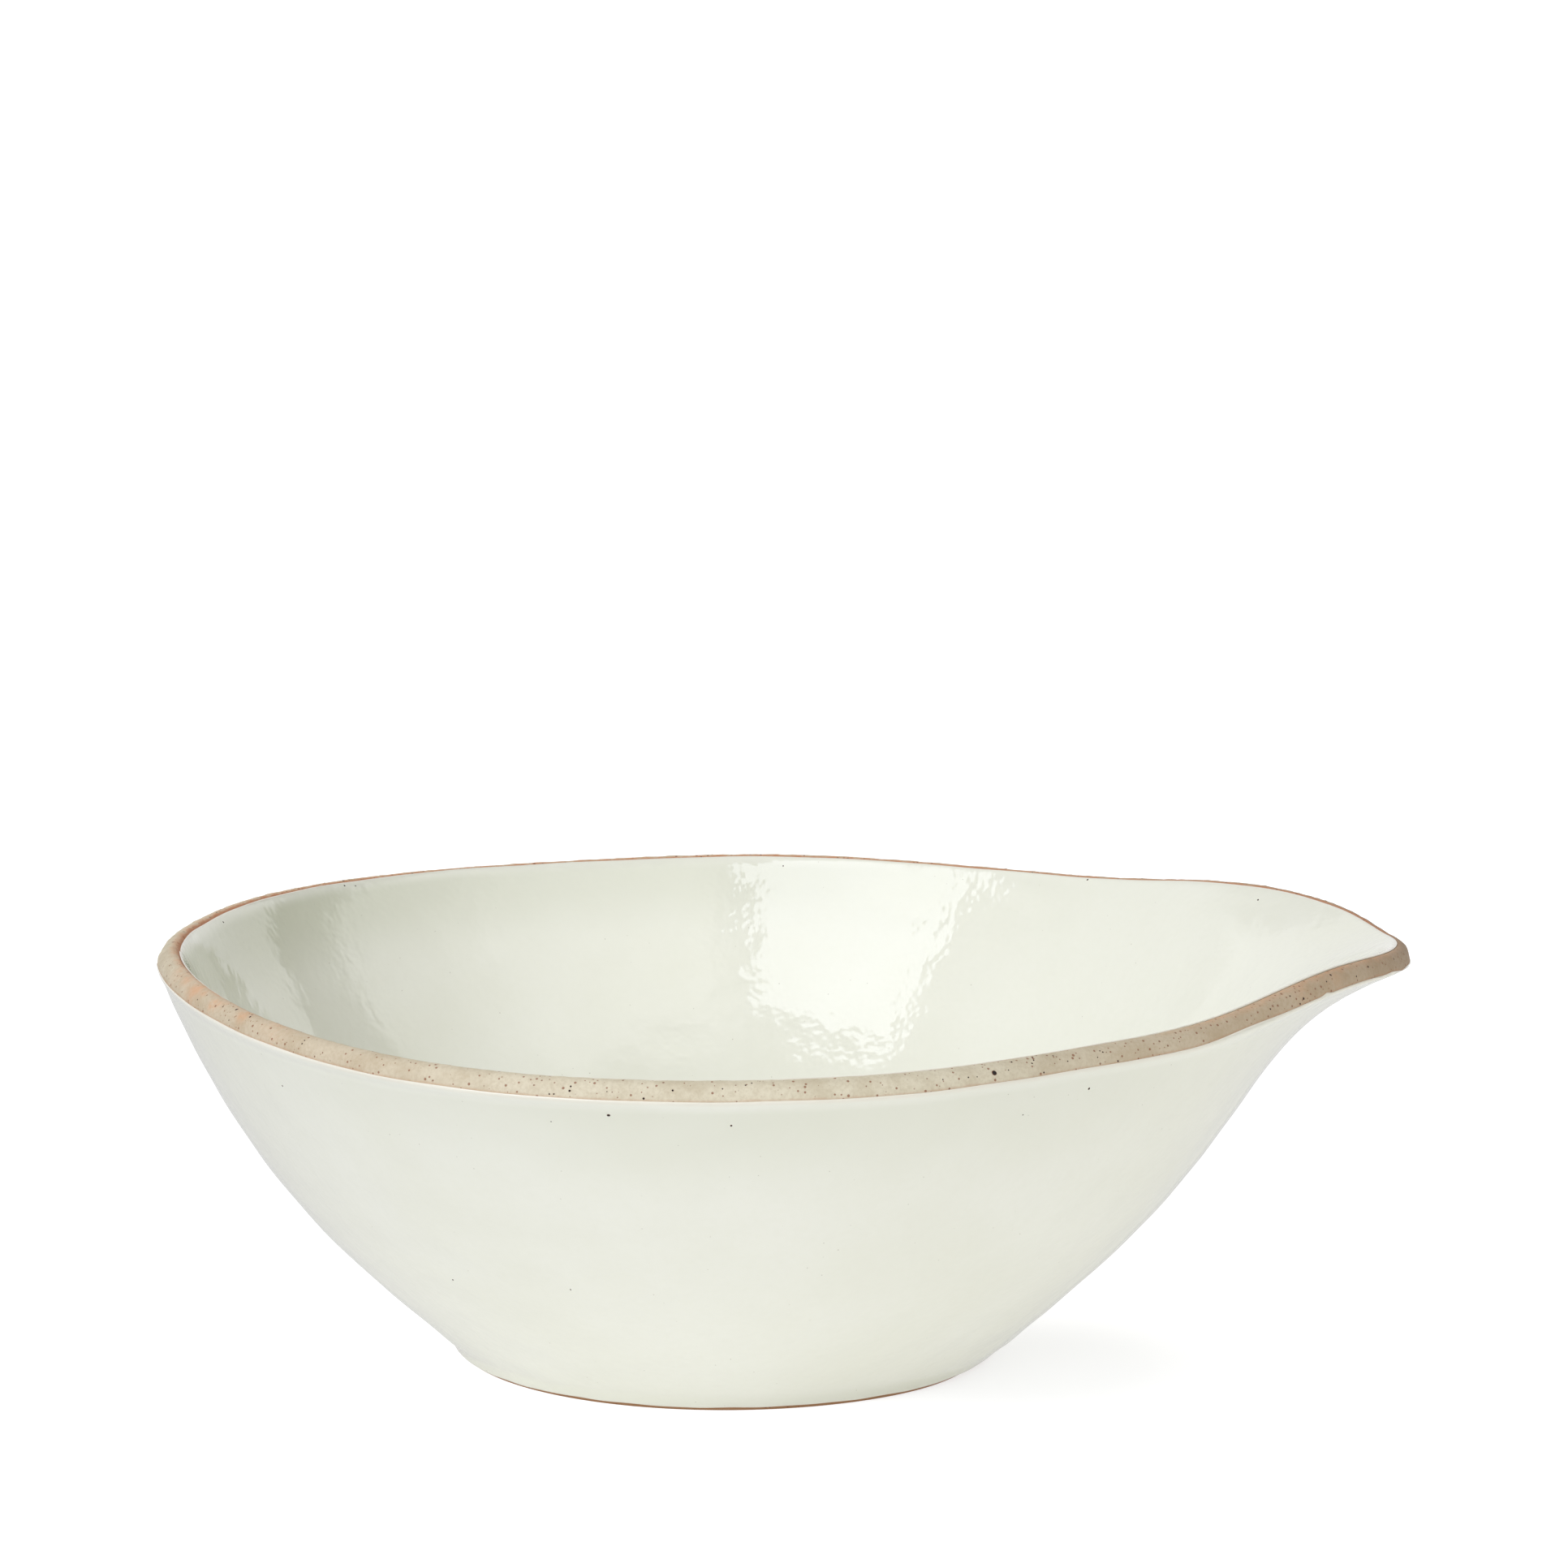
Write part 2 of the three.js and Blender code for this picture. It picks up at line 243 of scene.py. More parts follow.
class SaladBowlSizes(bpy.types.PropertyGroup):
    """Sizes of the clay body and its glaze coats"""

    rim_radius: length("Rim radius", 140, "Radius of the round part of the rim")
    spout_reach: length("Spout reach", 28.2, "How far the spout's tip stands out of that circle")
    spout_spread: angle("Spout spread", 25.4, "How wide the spout is")
    pinch_depth: length("Pinch depth", 3.8, "How far the rim draws in beside the spout")
    pinch_angle: angle("Pinch angle", 59.6, "Where the rim draws in")
    pinch_spread: angle("Pinch spread", 14.2, "How wide the pinch is")
    swell_depth: length("Swell depth", 2.5, "How far the rim stands out behind the pinch")
    swell_angle: angle("Swell angle", 122, "Where the rim stands out")
    swell_spread: angle("Swell spread", 25, "How wide the swell is")
    rim_height: length("Rim height", 96.4, "Height of the crest at its lowest")
    flank_lift: length("Flank lift", 4.7, "How far the crest rises on the spout's near flank")
    far_flank_lift: length("Far flank lift", 4.0, "How far it rises on the other flank")
    flank_angle: angle("Flank angle", 21, "Where the flanks are highest")
    flank_spread: angle("Flank spread", 14.6, "How wide the flanks are")
    back_lift: length("Back lift", 6.7, "How far the crest rises at the back")
    back_spread: angle("Back spread", 41, "How wide that rise is")
    lip_rise: length("Lip rise", 4.4, "Height of the crest over the lip's widest line")
    lip_inset: length("Lip inset", 3.6, "How far the crest lies inside the lip's widest line")
    lip_proud: length("Lip proud", 0.7, "How far the lip stands out of the clay wall")
    lip_ramp: length("Lip ramp", 1.6, "Height over which the wall runs out to the lip")
    lip_inner_round: length("Lip inner round", 1.8, "Rounding of the lip's inner edge")
    spout_lip_thinning: length("Spout lip thinning", 1.0, "How much narrower the lip is at the spout")
    wall_low_slope: angle("Lower slope", 43, "Slope of the wall where it leaves the foot")
    wall_low_pull: length("Lower pull", 30, "How far that slope carries")
    wall_high_slope: angle("Upper slope", 63.4, "Slope of the wall where it meets the lip")
    wall_high_pull: length("Upper pull", 59, "How far that slope carries")
    wall_thickness: length("Wall thickness", 5.8, "Thickness of the clay wall")
    spout_thinning: length("Spout thinning", 1.6, "How much thinner the wall is at the spout")
    spout_fade: number("Spout fade", 10.6, "How fast the spout fades down the wall")
    spout_low_share: number("Spout low share", 0.14, "Share of the spout that fades evenly")
    lift_fade: number("Lift fade", 4.5, "How fast the crest's lifts fade down the wall")
    foot_radius: length("Foot radius", 67.6, "Outer radius of the foot ring on the table")
    foot_flare: length("Foot flare", 2.2, "How much wider the foot is where the wall starts")
    foot_height: length("Foot height", 4, "Height where the wall starts")
    foot_width: length("Foot width", 7.5, "Width of the flat under the foot ring")
    foot_round: length("Foot round", 0.7, "Rounding of the foot's lower edges")
    foot_draw: length("Foot draw", 3.3, "How far the foot draws in under the spout")
    foot_draw_spread: angle("Foot draw spread", 43, "How wide that stretch of the foot is")
    foot_draw_height: length("Foot draw height", 5, "Height up to which the foot draws in")
    foot_fillet: length("Foot fillet", 1.6, "Half the height over which glaze fills the corner above the foot")
    recess_depth: length("Recess depth", 2.6, "Depth of the hollow inside the foot ring")
    recess_flare: length("Recess flare", 1.5, "Slope of the hollow's side")
    base_thickness: length("Base thickness", 5.5, "Thickness of the clay base")
    floor_bend: length("Floor bend", 14, "How far up the wall the inside floor starts to bend")
    floor_flat_radius: length("Flat floor radius", 32, "How far the inside floor stays level")
    glaze_thickness: length("Glaze thickness", 0.6, "Thickness of the glaze coats")
    glaze_gap: length("Glaze gap", 0.05, "Clearance between the clay and a coat")
    glaze_round: length("Glaze edge round", 0.8, "Width of the rounding at a coat's edge")
    rim_glaze_thinning: length("Rim glaze thinning", 0.38, "How much thinner the outside glaze is along the rim")
    glaze_bead: length("Glaze bead", 0.03, "How far the bead along a coat's edge swells")
    bead_reach: length("Bead reach", 1.3, "Distance of the bead's middle from the edge")
    edge_wander: length("Edge wander", 0.08, "How far the coats' edges wander up and down")
    bare_foot: length("Bare foot", 1.05, "Bare height over the foot ring's lower edge")
    glaze_below_lip: length("Glaze below lip", -0.3, "How far under the lip's widest line the outside glaze ends")
    ring_swell: length("Throwing rings", 0.035, "Height of the soft rings left by throwing")
    ring_spacing: length("Ring spacing", 13, "Distance between throwing rings")
    surface_swell: length("Surface swell", 0.03, "Height of the glaze's soft unevenness")
    surface_spacing: length("Swell spacing", 17, "Distance between its humps")
    clay_grain: length("Clay grain", 0.03, "Roughness of the bare clay")
    columns: IntProperty(name="Columns", description="Points around the bowl", default=620, min=64)
    crowding: number("Crowding", 1.15, "How much closer the columns stand at the spout")


class SaladBowlFinish(bpy.types.PropertyGroup):
    """Colours of the clay and the glaze"""

    milk: colour("Milky glaze", 237, 237, 224, "Glaze where it is thin and well melted")
    celadon: colour("Celadon glaze", 227, 227, 208, "Glaze where it lies thick")
    # Dark green: pooled glaze over the foot, and painted shade under the rim, outside and inside
    pool: colour("Pooled glaze", 207, 209, 186, "Glaze where it gathers under the rim and over the foot")
    glaze_edge: colour("Glaze edge", 230, 224, 207, "Thin glaze along an edge")
    freckle: colour("Glaze freckle", 176, 172, 152, "Faint freckles in the glaze")
    sand: colour("Sand", 216, 208, 183, "Bare clay")
    dark_sand: colour("Dark sand", 184, 170, 140, "Darker mottles of the bare clay")
    flashing: colour("Flashing", 186, 124, 86, "Orange line where the glaze ends")
    blush: colour("Blush", 218, 160, 116, "Orange blushes on the bare clay")
    # Browner clay at the spout, the back and the foot; at the spout partly fire browning, partly painted shade
    toast_and_shade: colour("Toasted clay", 160, 119, 80, "Clay at the spout, where the fire browned it")
    # Painted shade on the spout's tip
    tip_shade: colour("Smoked clay", 146, 120, 93, "Greyer clay at the spout's tip")
    rust: colour("Rust freckle", 140, 92, 64, "Small rusty grains in the clay")
    iron: colour("Iron", 30, 24, 22, "Middle of an iron speck")
    iron_rim: colour("Iron rim", 120, 72, 44, "Rim of an iron speck")
    peel: length("Orange peel", 0.06, "Height of the glaze's fine ripples")


class SaladBowlStage(bpy.types.PropertyGroup):
    """Camera, light and floor"""

    pitch: angle("Camera pitch", 10.286, "How far the camera looks down")
    roll: angle("Camera roll", -0.371, "How far the camera leans")
    turn: angle("Camera turn", 5.728, "How far the camera stands left of the bowl's side view")
    distance: number("Camera distance", 1.818, "From the camera to the middle of the foot, in metres")
    focus: number("Focal length", 9014, "Focal length in pixels of the photograph")
    foot_pixel: FloatVectorProperty(
        name="Foot pixel", description="Middle of the foot in the photograph", default=(902.971, 1649.913), size=2)
    key_azimuth: angle("Key azimuth", -35.5, "Where the softbox stands, from the camera towards the right")
    key_elevation: angle("Key elevation", 34.5, "How high the softbox stands")
    key_distance: number("Key distance", 1.5, "From the bowl to the softbox, in metres")
    key_size: FloatVectorProperty(
        name="Key size", description="Width and height of the softbox, in metres", default=(0.95, 1.45), size=2)
    key_power: number("Key power", 12.6, "Power of the softbox, in watts")
    key_colour: FloatVectorProperty(
        name="Key colour", description="Cool white of the softbox", default=(0.86, 0.885, 1.0), subtype="COLOR")
    front_light: number("Front light", 1.67, "Brightness of the upper wall at the front right")
    front_left_light: number("Front left light", 0.61, "Brightness of the upper wall at the front left")
    front_low_light: number("Front low light", 1.19, "Brightness of the lower wall at the front left")
    left_light: number("Left light", 0.72, "Brightness of the wall at the left")
    right_light: number("Right light", 1.21, "Brightness of the upper wall at the right")
    backdrop_light: number("Backdrop light", 1.1, "Brightness of the backdrop behind the bowl")
    backdrop_left_light: number("Backdrop left light", 0.92, "Brightness of the backdrop's left half")
    backdrop_high_light: number("Backdrop high light", 0.25, "Brightness of the wall over the backdrop")
    ceiling_light: number("Ceiling light", 0.41, "Brightness of the ceiling")
    floor_glow: number("Floor glow", 0.735, "White that the camera sees without any lamp where the shadow falls")
    floor_mirrored: number("Mirrored floor glow", 0.56, "The same near the bowl, as the glaze mirrors it")
    floor_shade: number("Floor shade", 0.3, "Share of lamp light, and of shadow, that the camera sees on the floor")
    floor_mirrored_shade: number("Mirrored floor shade", 0.16, "The same, as the glaze mirrors it")
    floor_white: number("Floor white", 0.65, "How much light the floor throws back on the bowl")
    floor_bounce: FloatVectorProperty(
        name="Floor bounce", description="Light that the floor adds: near the foot left and right, and further out",
        default=(0.36, 0.58, 0.04, 0.74), size=4)


class SaladBowlSettings(bpy.types.PropertyGroup):
    """Everything a user may change"""

    sizes: PointerProperty(type=SaladBowlSizes)
    finish: PointerProperty(type=SaladBowlFinish)
    stage: PointerProperty(type=SaladBowlStage)


# Shape of the bowl, as points about its own axis


def bell(turn, centre, spread):
    """A rounded hump over an angle, on both sides of the spout unless it is at the spout."""
    if centre == 0:
        return np.exp(-((turn / spread) ** 2))
    return np.exp(-(((turn - centre) / spread) ** 2)) + np.exp(-(((turn + centre) / spread) ** 2))


def hump(turn, at, spread):
    """A rounded hump at one turn, with turn and spread of the hump in degrees."""
    return bell(turn - math.radians(at), 0, math.radians(spread))


def bezier(a, b, c, d, t):
    s = 1 - t
    return s**3 * a + 3 * s * s * t * b + 3 * s * t * t * c + t**3 * d


def polar(radius, turn, z):
    radius, turn, z = np.broadcast_arrays(radius, turn, z)
    return np.stack([radius * np.cos(turn), radius * np.sin(turn), z], axis=-1)


def unit(vectors):
    return vectors / np.linalg.norm(vectors, axis=-1, keepdims=True)


def smooth(share):
    share = np.clip(share, 0, 1)
    return share * share * (3 - 2 * share)


def sloped(slope, reach):
    return reach * np.array((math.cos(slope), math.sin(slope)))


def waves(points, spacing, seed, count=14):
    """A smooth random swell, about 1 high, with humps about that far apart."""
    draw = np.random.default_rng(seed)
    ways = unit(draw.normal(size=(count, 3)))
    turns = 2 * math.pi / spacing * draw.uniform(0.7, 1.3, count)
    phases = draw.uniform(0, 2 * math.pi, count)
    swell = np.zeros(points.shape[:-1])
    for way, turn, phase in zip(ways, turns, phases):
        swell += np.sin(points @ way * turn + phase)
    return swell * math.sqrt(2 / count)


def wander(turn, seed, waves_around=(3, 5, 8, 13, 21, 34)):
    """A line that wanders around the bowl, about 1 up and down, and closes on itself."""
    draw = np.random.default_rng(seed)
    line = np.zeros_like(turn)
    for count in waves_around:
        line += np.sin(count * turn + draw.uniform(0, 2 * math.pi)) * draw.uniform(0.5, 1)
    return line / math.sqrt(len(waves_around) / 2)


def around(turn, table):
    """A value around the bowl, between the turns of a table in degrees."""
    return np.interp(np.degrees(turn), *zip(*table))


def rounded_edge(distance, width):
    """Height of a coat, from 0 at its edge to 1, in a quarter round."""
    short = np.clip(1 - distance / width, 0, 1)
    return np.sqrt(1 - short * short)


class Bowl:
    """The faces of the bowl, worked out from its sizes."""

    def __init__(self, sizes):
        s = self.sizes = sizes
        self.wall_top = s.rim_height - s.lip_rise
        foot = np.array((s.foot_radius + s.foot_flare, s.foot_height))
        top = np.array((s.rim_radius - s.lip_proud, self.wall_top))
        low_pull = foot + sloped(s.wall_low_slope, s.wall_low_pull)
        high_pull = top - sloped(s.wall_high_slope, s.wall_high_pull)
        self.outline = (foot, low_pull, high_pull, top)
        points = bezier(*self.outline, np.linspace(0, 1, 201)[:, None])
        self.outline_length = np.linalg.norm(np.diff(points, axis=0), axis=1).sum()
        self.lip_start = 1 - s.lip_rise / self.outline_length
        self.floor_start = s.floor_bend / self.outline_length
        self.floor_height = s.recess_depth + s.base_thickness
        self.inner_lip_length = s.lip_inner_round + s.lip_rise
        self.foot_way = unit(np.array((s.foot_flare, s.foot_height)))
        share = 2 * np.arange(s.columns) / s.columns - 1
        self.turns = math.pi * np.sign(share) * np.abs(share) ** s.crowding
        self.outer_edge = s.glaze_below_lip + s.edge_wander * wander(self.turns, 11)
        for at, spread, height in GLAZE_RUNS:
            self.outer_edge -= height * MM * hump(self.turns, at, spread)
        self.inner_edge = around(self.turns, BARE_INSIDE) * MM + s.edge_wander * wander(self.turns, 12)
        self.foot_edge = s.bare_foot + s.edge_wander * wander(self.turns, 13)

    def rim_radius(self, turn):
        s = self.sizes
        spout = s.spout_reach * bell(turn, 0, s.spout_spread)
        pinch = s.pinch_depth * bell(turn, s.pinch_angle, s.pinch_spread)
        swell = s.swell_depth * bell(turn, s.swell_angle, s.swell_spread)
        uneven_reach = sum(reach * MM * hump(turn, at, spread) for at, spread, _, reach in UNEVEN_RIM)
        return s.rim_radius + spout - pinch + swell + uneven_reach

    def crest_lift(self, turn):
        s = self.sizes
        near_flank = s.flank_lift * bell(turn + s.flank_angle, 0, s.flank_spread)
        far_flank = s.far_flank_lift * bell(turn - s.flank_angle, 0, s.flank_spread)
        uneven_lift = sum(lift * MM * hump(turn, at, spread) for at, spread, lift, _ in UNEVEN_RIM)
        return near_flank + far_flank + uneven_lift + s.back_lift * bell(math.pi - np.abs(turn), 0, s.back_spread)

    def plain_wall(self, turn, along):
        """The clay's outer face without the lip, with along 0 at the foot and 1 at the lip."""
        s = self.sizes
        along = np.broadcast_to(along, turn.shape)[..., None]
        plain = bezier(*self.outline, along)
        share = np.maximum(0, (plain[..., 1] - s.foot_height) / (self.wall_top - s.foot_height))
        pull = s.spout_low_share * share + (1 - s.spout_low_share) * share**s.spout_fade
        radius = plain[..., 0] + (self.rim_radius(turn) - s.rim_radius) * pull
        return polar(radius, turn, plain[..., 1] + self.crest_lift(turn) * share**s.lift_fade)

    def foot_or_wall(self, turn, rise):
        """The outer face by its distance above the corner where foot and wall meet."""
        s = self.sizes
        rise = np.broadcast_to(rise, turn.shape)
        foot = polar(
            s.foot_radius + s.foot_flare + rise * self.foot_way[0], turn, s.foot_height + rise * self.foot_way[1])
        along = np.maximum(rise, 0) / self.outline_length
        ramp = smooth(1 - (self.outline_length - rise) / s.lip_ramp)[..., None]
        step_out = self.lip_point(turn, 0, 0) - self.plain_wall(turn, 1.0)
        wall = self.plain_wall(turn, np.minimum(along, 1)) + ramp * step_out
        over = np.maximum(rise - self.outline_length, 0)
        wall = wall + self.lip_point(turn, self.lip_inset(turn) * (1 - np.sqrt(1 - (over / s.lip_rise) ** 2)), over)
        wall = wall - self.lip_point(turn, 0, 0)
        return self.drawn_in(np.where((rise < 0)[..., None], foot, wall))

    def drawn_in(self, points):
        """Points of the outer face or the foot, moved in where the foot draws in."""
        s = self.sizes
        radius = np.maximum(np.hypot(points[..., 0], points[..., 1]), MM)
        low = np.clip(1 - points[..., 2] / s.foot_draw_height, 0, 1)
        outer = np.clip((radius - s.foot_radius) / s.foot_width + 1, 0, 1)
        turn = np.arctan2(points[..., 1], points[..., 0])
        reach = s.foot_draw * np.exp(-((turn / s.foot_draw_spread) ** 4)) * low * outer
        return points - points * np.array((1, 1, 0)) * (reach / radius)[..., None]

    def filled_corner(self, turn, rise):
        """The same face with the corner above the foot rounded out."""
        offsets = np.linspace(-1, 1, 9) * self.sizes.foot_fillet
        return np.mean([self.foot_or_wall(turn, rise + offset) for offset in offsets], axis=0)

    def normal(self, face, turn, rise, step=RISE_STEP):
        sideways = face(turn + TURN_STEP, rise) - face(turn - TURN_STEP, rise)
        upward = face(turn, rise + step) - face(turn, rise - step)
        return unit(np.cross(sideways, upward))

    def wall_normal(self, turn, along):
        return self.normal(self.plain_wall, turn, along, RISE_STEP / self.outline_length)

    def lip_point(self, turn, inset, rise):
        """A point of the lip, measured from its widest line."""
        def edge(at):
            return polar(self.rim_radius(at), at, self.wall_top + self.crest_lift(at))
        sideways = edge(turn + TURN_STEP) - edge(turn - TURN_STEP)
        inward = unit(np.stack([-sideways[..., 1], sideways[..., 0], np.zeros_like(turn)], axis=-1))
        return edge(turn) + inward * np.asarray(inset)[..., None] + np.array((0, 0, 1)) * np.asarray(rise)[..., None]

    def lip_inset(self, turn):
        return self.sizes.lip_inset - self.sizes.spout_lip_thinning * bell(turn, 0, self.sizes.spout_spread)

    def lip(self, turn, quarter):
        """The lip's outer rounding, from its widest line at 0 to its crest at a quarter turn."""
        inset = self.lip_inset(turn) * (1 - math.cos(quarter))
        return self.lip_point(turn, inset, self.sizes.lip_rise * math.sin(quarter))

    def inner_wall(self, turn, along, lift):
        s = self.sizes
        depth = s.wall_thickness - s.spout_thinning * bell(turn, 0, s.spout_spread) * along + lift
        return self.plain_wall(turn, along) - self.wall_normal(turn, along) * depth[..., None]

    def inner_way_up(self, turn, along, lift):
        step = RISE_STEP / self.outline_length
        return unit(self.inner_wall(turn, along + step, lift) - self.inner_wall(turn, along - step, lift))

    def inner_lip(self, turn, share, lift):
        """The lip's inner rounding, from the crest at 0 to the wall at 1."""
        s = self.sizes
        lift = np.broadcast_to(lift, turn.shape)
        crest = self.lip_point(turn, self.lip_inset(turn), s.lip_rise + lift)
        over = self.lip_point(turn, self.lip_inset(turn) + s.lip_inner_round, s.lip_rise + lift)
        end = self.inner_wall(turn, self.lip_start, lift)
        under = end + self.inner_way_up(turn, self.lip_start, lift) * s.lip_rise
        return bezier(crest, over, under, end, np.broadcast_to(share, turn.shape)[..., None])

    def inner_floor(self, turn, share, lift):
        s = self.sizes
        lift = np.broadcast_to(lift, turn.shape)
        edge = self.inner_wall(turn, self.floor_start, lift)
        bend = edge - self.inner_way_up(turn, self.floor_start, lift) * s.floor_bend
        level = polar(s.floor_flat_radius, turn, self.floor_height + lift)
        middle = polar(0.0, turn, self.floor_height + lift)
        return bezier(edge, bend, level, middle, share)


# Meshes


def grid_mesh(name, rings, start=None, end=None):
    """A closed smooth mesh over rings of points, with a middle point at each end or else joined end to end."""
    rows, count = rings.shape[:2]
    index = np.arange(rows * count).reshape(rows, count)
    if start is None:
        index = np.vstack([index, index[:1]])
    beside = np.roll(index, -1, axis=1)
    quads = np.stack([index[:-1], beside[:-1], beside[1:], index[1:]], axis=-1).reshape(-1, 4)
    faces = quads.tolist()
    points = rings.reshape(-1, 3)
    if start is not None:
        first, last = rows * count, rows * count + 1
        points = np.vstack([points, start, end])
        faces += [(first, j, i) for i, j in zip(index[0].tolist(), beside[0].tolist())]
        faces += [(last, i, j) for i, j in zip(index[-1].tolist(), beside[-1].tolist())]
    mesh = bpy.data.meshes.new(name)
    mesh.from_pydata((points + np.array(AXIS)).tolist(), [], faces)
    mesh.shade_smooth()
    return mesh


def add_values(mesh, name, rows):
    """Stores a number for every point of a grid mesh; the middle points take the last row's."""
    values = np.asarray(rows, np.float32).ravel()
    spare = len(mesh.vertices) - len(values)
    values = np.concatenate([values, np.full(spare, values[-1], np.float32)])
    mesh.attributes.new(name, "FLOAT", "POINT").data.foreach_set("value", values)


def grid_normals(rings):
    """Normals of a grid of rings that close around, to the left of the way from ring to ring."""
    sideways = np.roll(rings, -1, axis=1) - np.roll(rings, 1, axis=1)
    onward = np.gradient(rings, axis=0)
    return unit(np.cross(sideways, onward))


def new_object(name, data):
    made = bpy.data.objects.new(name, data)
    bpy.context.scene.collection.objects.link(made)
    return made


def place_piece(name, mesh, slot, *nodes):
    piece = new_object(name, mesh)
    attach(piece, "root")
    if nodes:
        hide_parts(*nodes)
    return piece


def flat_ring(bowl, radius, z):
    return bowl.drawn_in(polar(radius, bowl.turns, z))


def corner_rings(bowl, before, corner, after, size, steps=4):
    """Rings that round off a corner between two straight stretches of the profile."""
    before, corner, after = (np.array(p) for p in (before, corner, after))
    first = corner + unit(before - corner) * size
    last = corner + unit(after - corner) * size
    rings = []
    for t in np.linspace(0, 1, steps):
        radius, z = (1 - t) ** 2 * first + 2 * t * (1 - t) * corner + t * t * last
        rings.append(flat_ring(bowl, radius, z))
    return rings


def edge_steps(width, count):
    """Distances from an edge, close together at first."""
    return width * (1 - np.cos(np.linspace(0, math.pi / 2, count + 1)[1:]))


def coat_steps(sizes, start, end, count):
    """Distances from a coat's edge: over its rounding, and then evenly between two distances in millimetres."""
    return np.concatenate([edge_steps(sizes.glaze_round, 6), np.linspace(start, end, count) * MM])


def coat_lift(sizes, distance, from_rim, thinned=0.0):
    """Height of a coat's face over the clay, rounded at its edges and with a bead beside the rim."""
    rounding = rounded_edge(distance, sizes.glaze_round)
    bead = sizes.glaze_bead * np.exp(-(((from_rim - sizes.bead_reach) / BEAD_WIDTH) ** 2))
    return sizes.glaze_gap + (sizes.glaze_thickness - thinned) * rounding + bead * rounding


def clay_mesh(bowl):
    """The clay from the middle of the base over foot, wall and lip to the middle of the inside floor."""
    s, turns = bowl.sizes, bowl.turns
    foot_inner = s.foot_radius - s.foot_width
    recess = (foot_inner - s.recess_flare, s.recess_depth)
    heel, toe = (foot_inner, 0), (s.foot_radius, 0)
    shoulder = (s.foot_radius + s.foot_flare, s.foot_height)
    far = CLAY_FAR
    rings, from_outer, from_inner = [], [], []

    def add(ring, outer, inner):
        rings.append(ring)
        from_outer.append(np.broadcast_to(outer, turns.shape))
        from_inner.append(np.broadcast_to(inner, turns.shape))

    for radius in np.linspace(4 * MM, recess[0] - s.foot_round, 12)[:-1]:
        add(flat_ring(bowl, radius, s.recess_depth), far, far)
    for corner in (((0, s.recess_depth), recess, heel), (recess, heel, toe)):
        for ring in corner_rings(bowl, *corner, s.foot_round):
            add(ring, far, far)
    for ring in corner_rings(bowl, heel, toe, shoulder, s.foot_round):
        add(ring, bowl.foot_edge - ring[:, 2], far)
    for rise in np.linspace(s.foot_round * 1.3, s.foot_height, 10):
        ring = flat_ring(bowl, s.foot_radius + s.foot_flare * rise / s.foot_height, rise)
        add(ring, bowl.foot_edge - rise, far)
    top = bowl.outline_length
    under_lip = top - 4 * MM
    for rise in np.concatenate([np.linspace(0, under_lip, 34)[1:], np.linspace(under_lip, top, 15)[1:]]):
        edge = rise - top + bowl.outer_edge
        add(bowl.foot_or_wall(turns, rise), np.where(rise < top / 2, -far, edge), far)
    lips = [bowl.lip(turns, quarter) for quarter in np.linspace(0, math.pi / 2, 19)]
    arcs = [np.zeros_like(turns)]
    for before, after in zip(lips, lips[1:]):
        arcs.append(arcs[-1] + np.linalg.norm(after - before, axis=-1))
    whole = arcs[-1]
    for ring, arc in zip(lips[1:], arcs[1:]):
        add(ring, arc + bowl.outer_edge, whole - arc + bowl.inner_edge)
    for share in np.linspace(0, 1, 17)[1:]:
        reach = share * bowl.inner_lip_length
        add(bowl.inner_lip(turns, share, 0.0), whole + reach + bowl.outer_edge, bowl.inner_edge - reach)
    for along in np.linspace(bowl.lip_start, bowl.floor_start, 30)[1:]:
        add(bowl.inner_wall(turns, along, np.zeros_like(turns)), far, -far)
    for share in np.linspace(0, 1, 15)[1:-1]:
        add(bowl.inner_floor(turns, share, 0.0), far, -far)
    rings, from_outer, from_inner = np.array(rings), np.array(from_outer), np.array(from_inner)
    bare = smooth(np.minimum(from_outer, from_inner) / HUMPS_START) * (rings[..., 2] > RIM_BOTTOM)
    grain = sum(waves(rings, *humps) for humps in CLAY_HUMPS)
    rings = rings + grid_normals(rings) * (bare * grain * s.clay_grain)[..., None]
    mesh = grid_mesh("clay_body", rings, (0, 0, s.recess_depth), (0, 0, bowl.floor_height))
    add_values(mesh, "from_outer_edge", from_outer / MM)
    add_values(mesh, "from_inner_edge", from_inner / MM)
    return mesh


def throwing_rings(bowl, rings):
    """Soft rings that climb as the thrower's fingers did, about 1 high."""
    turn = np.arctan2(rings[..., 1], rings[..., 0])
    climb = rings[..., 2] * 2 * math.pi / bowl.sizes.ring_spacing
    return np.sin(climb + turn + RING_DRIFT * waves(rings, RING_DRIFT_SPACING, 31))


def uneven(bowl, rings, distance, seed):
    """Unevenness of a coat's face, which fades out towards its edges."""
    s = bowl.sizes
    swell = s.surface_swell * waves(rings, s.surface_spacing, seed) + s.ring_swell * throwing_rings(bowl, rings)
    return swell * smooth(distance / EVEN_REACH)


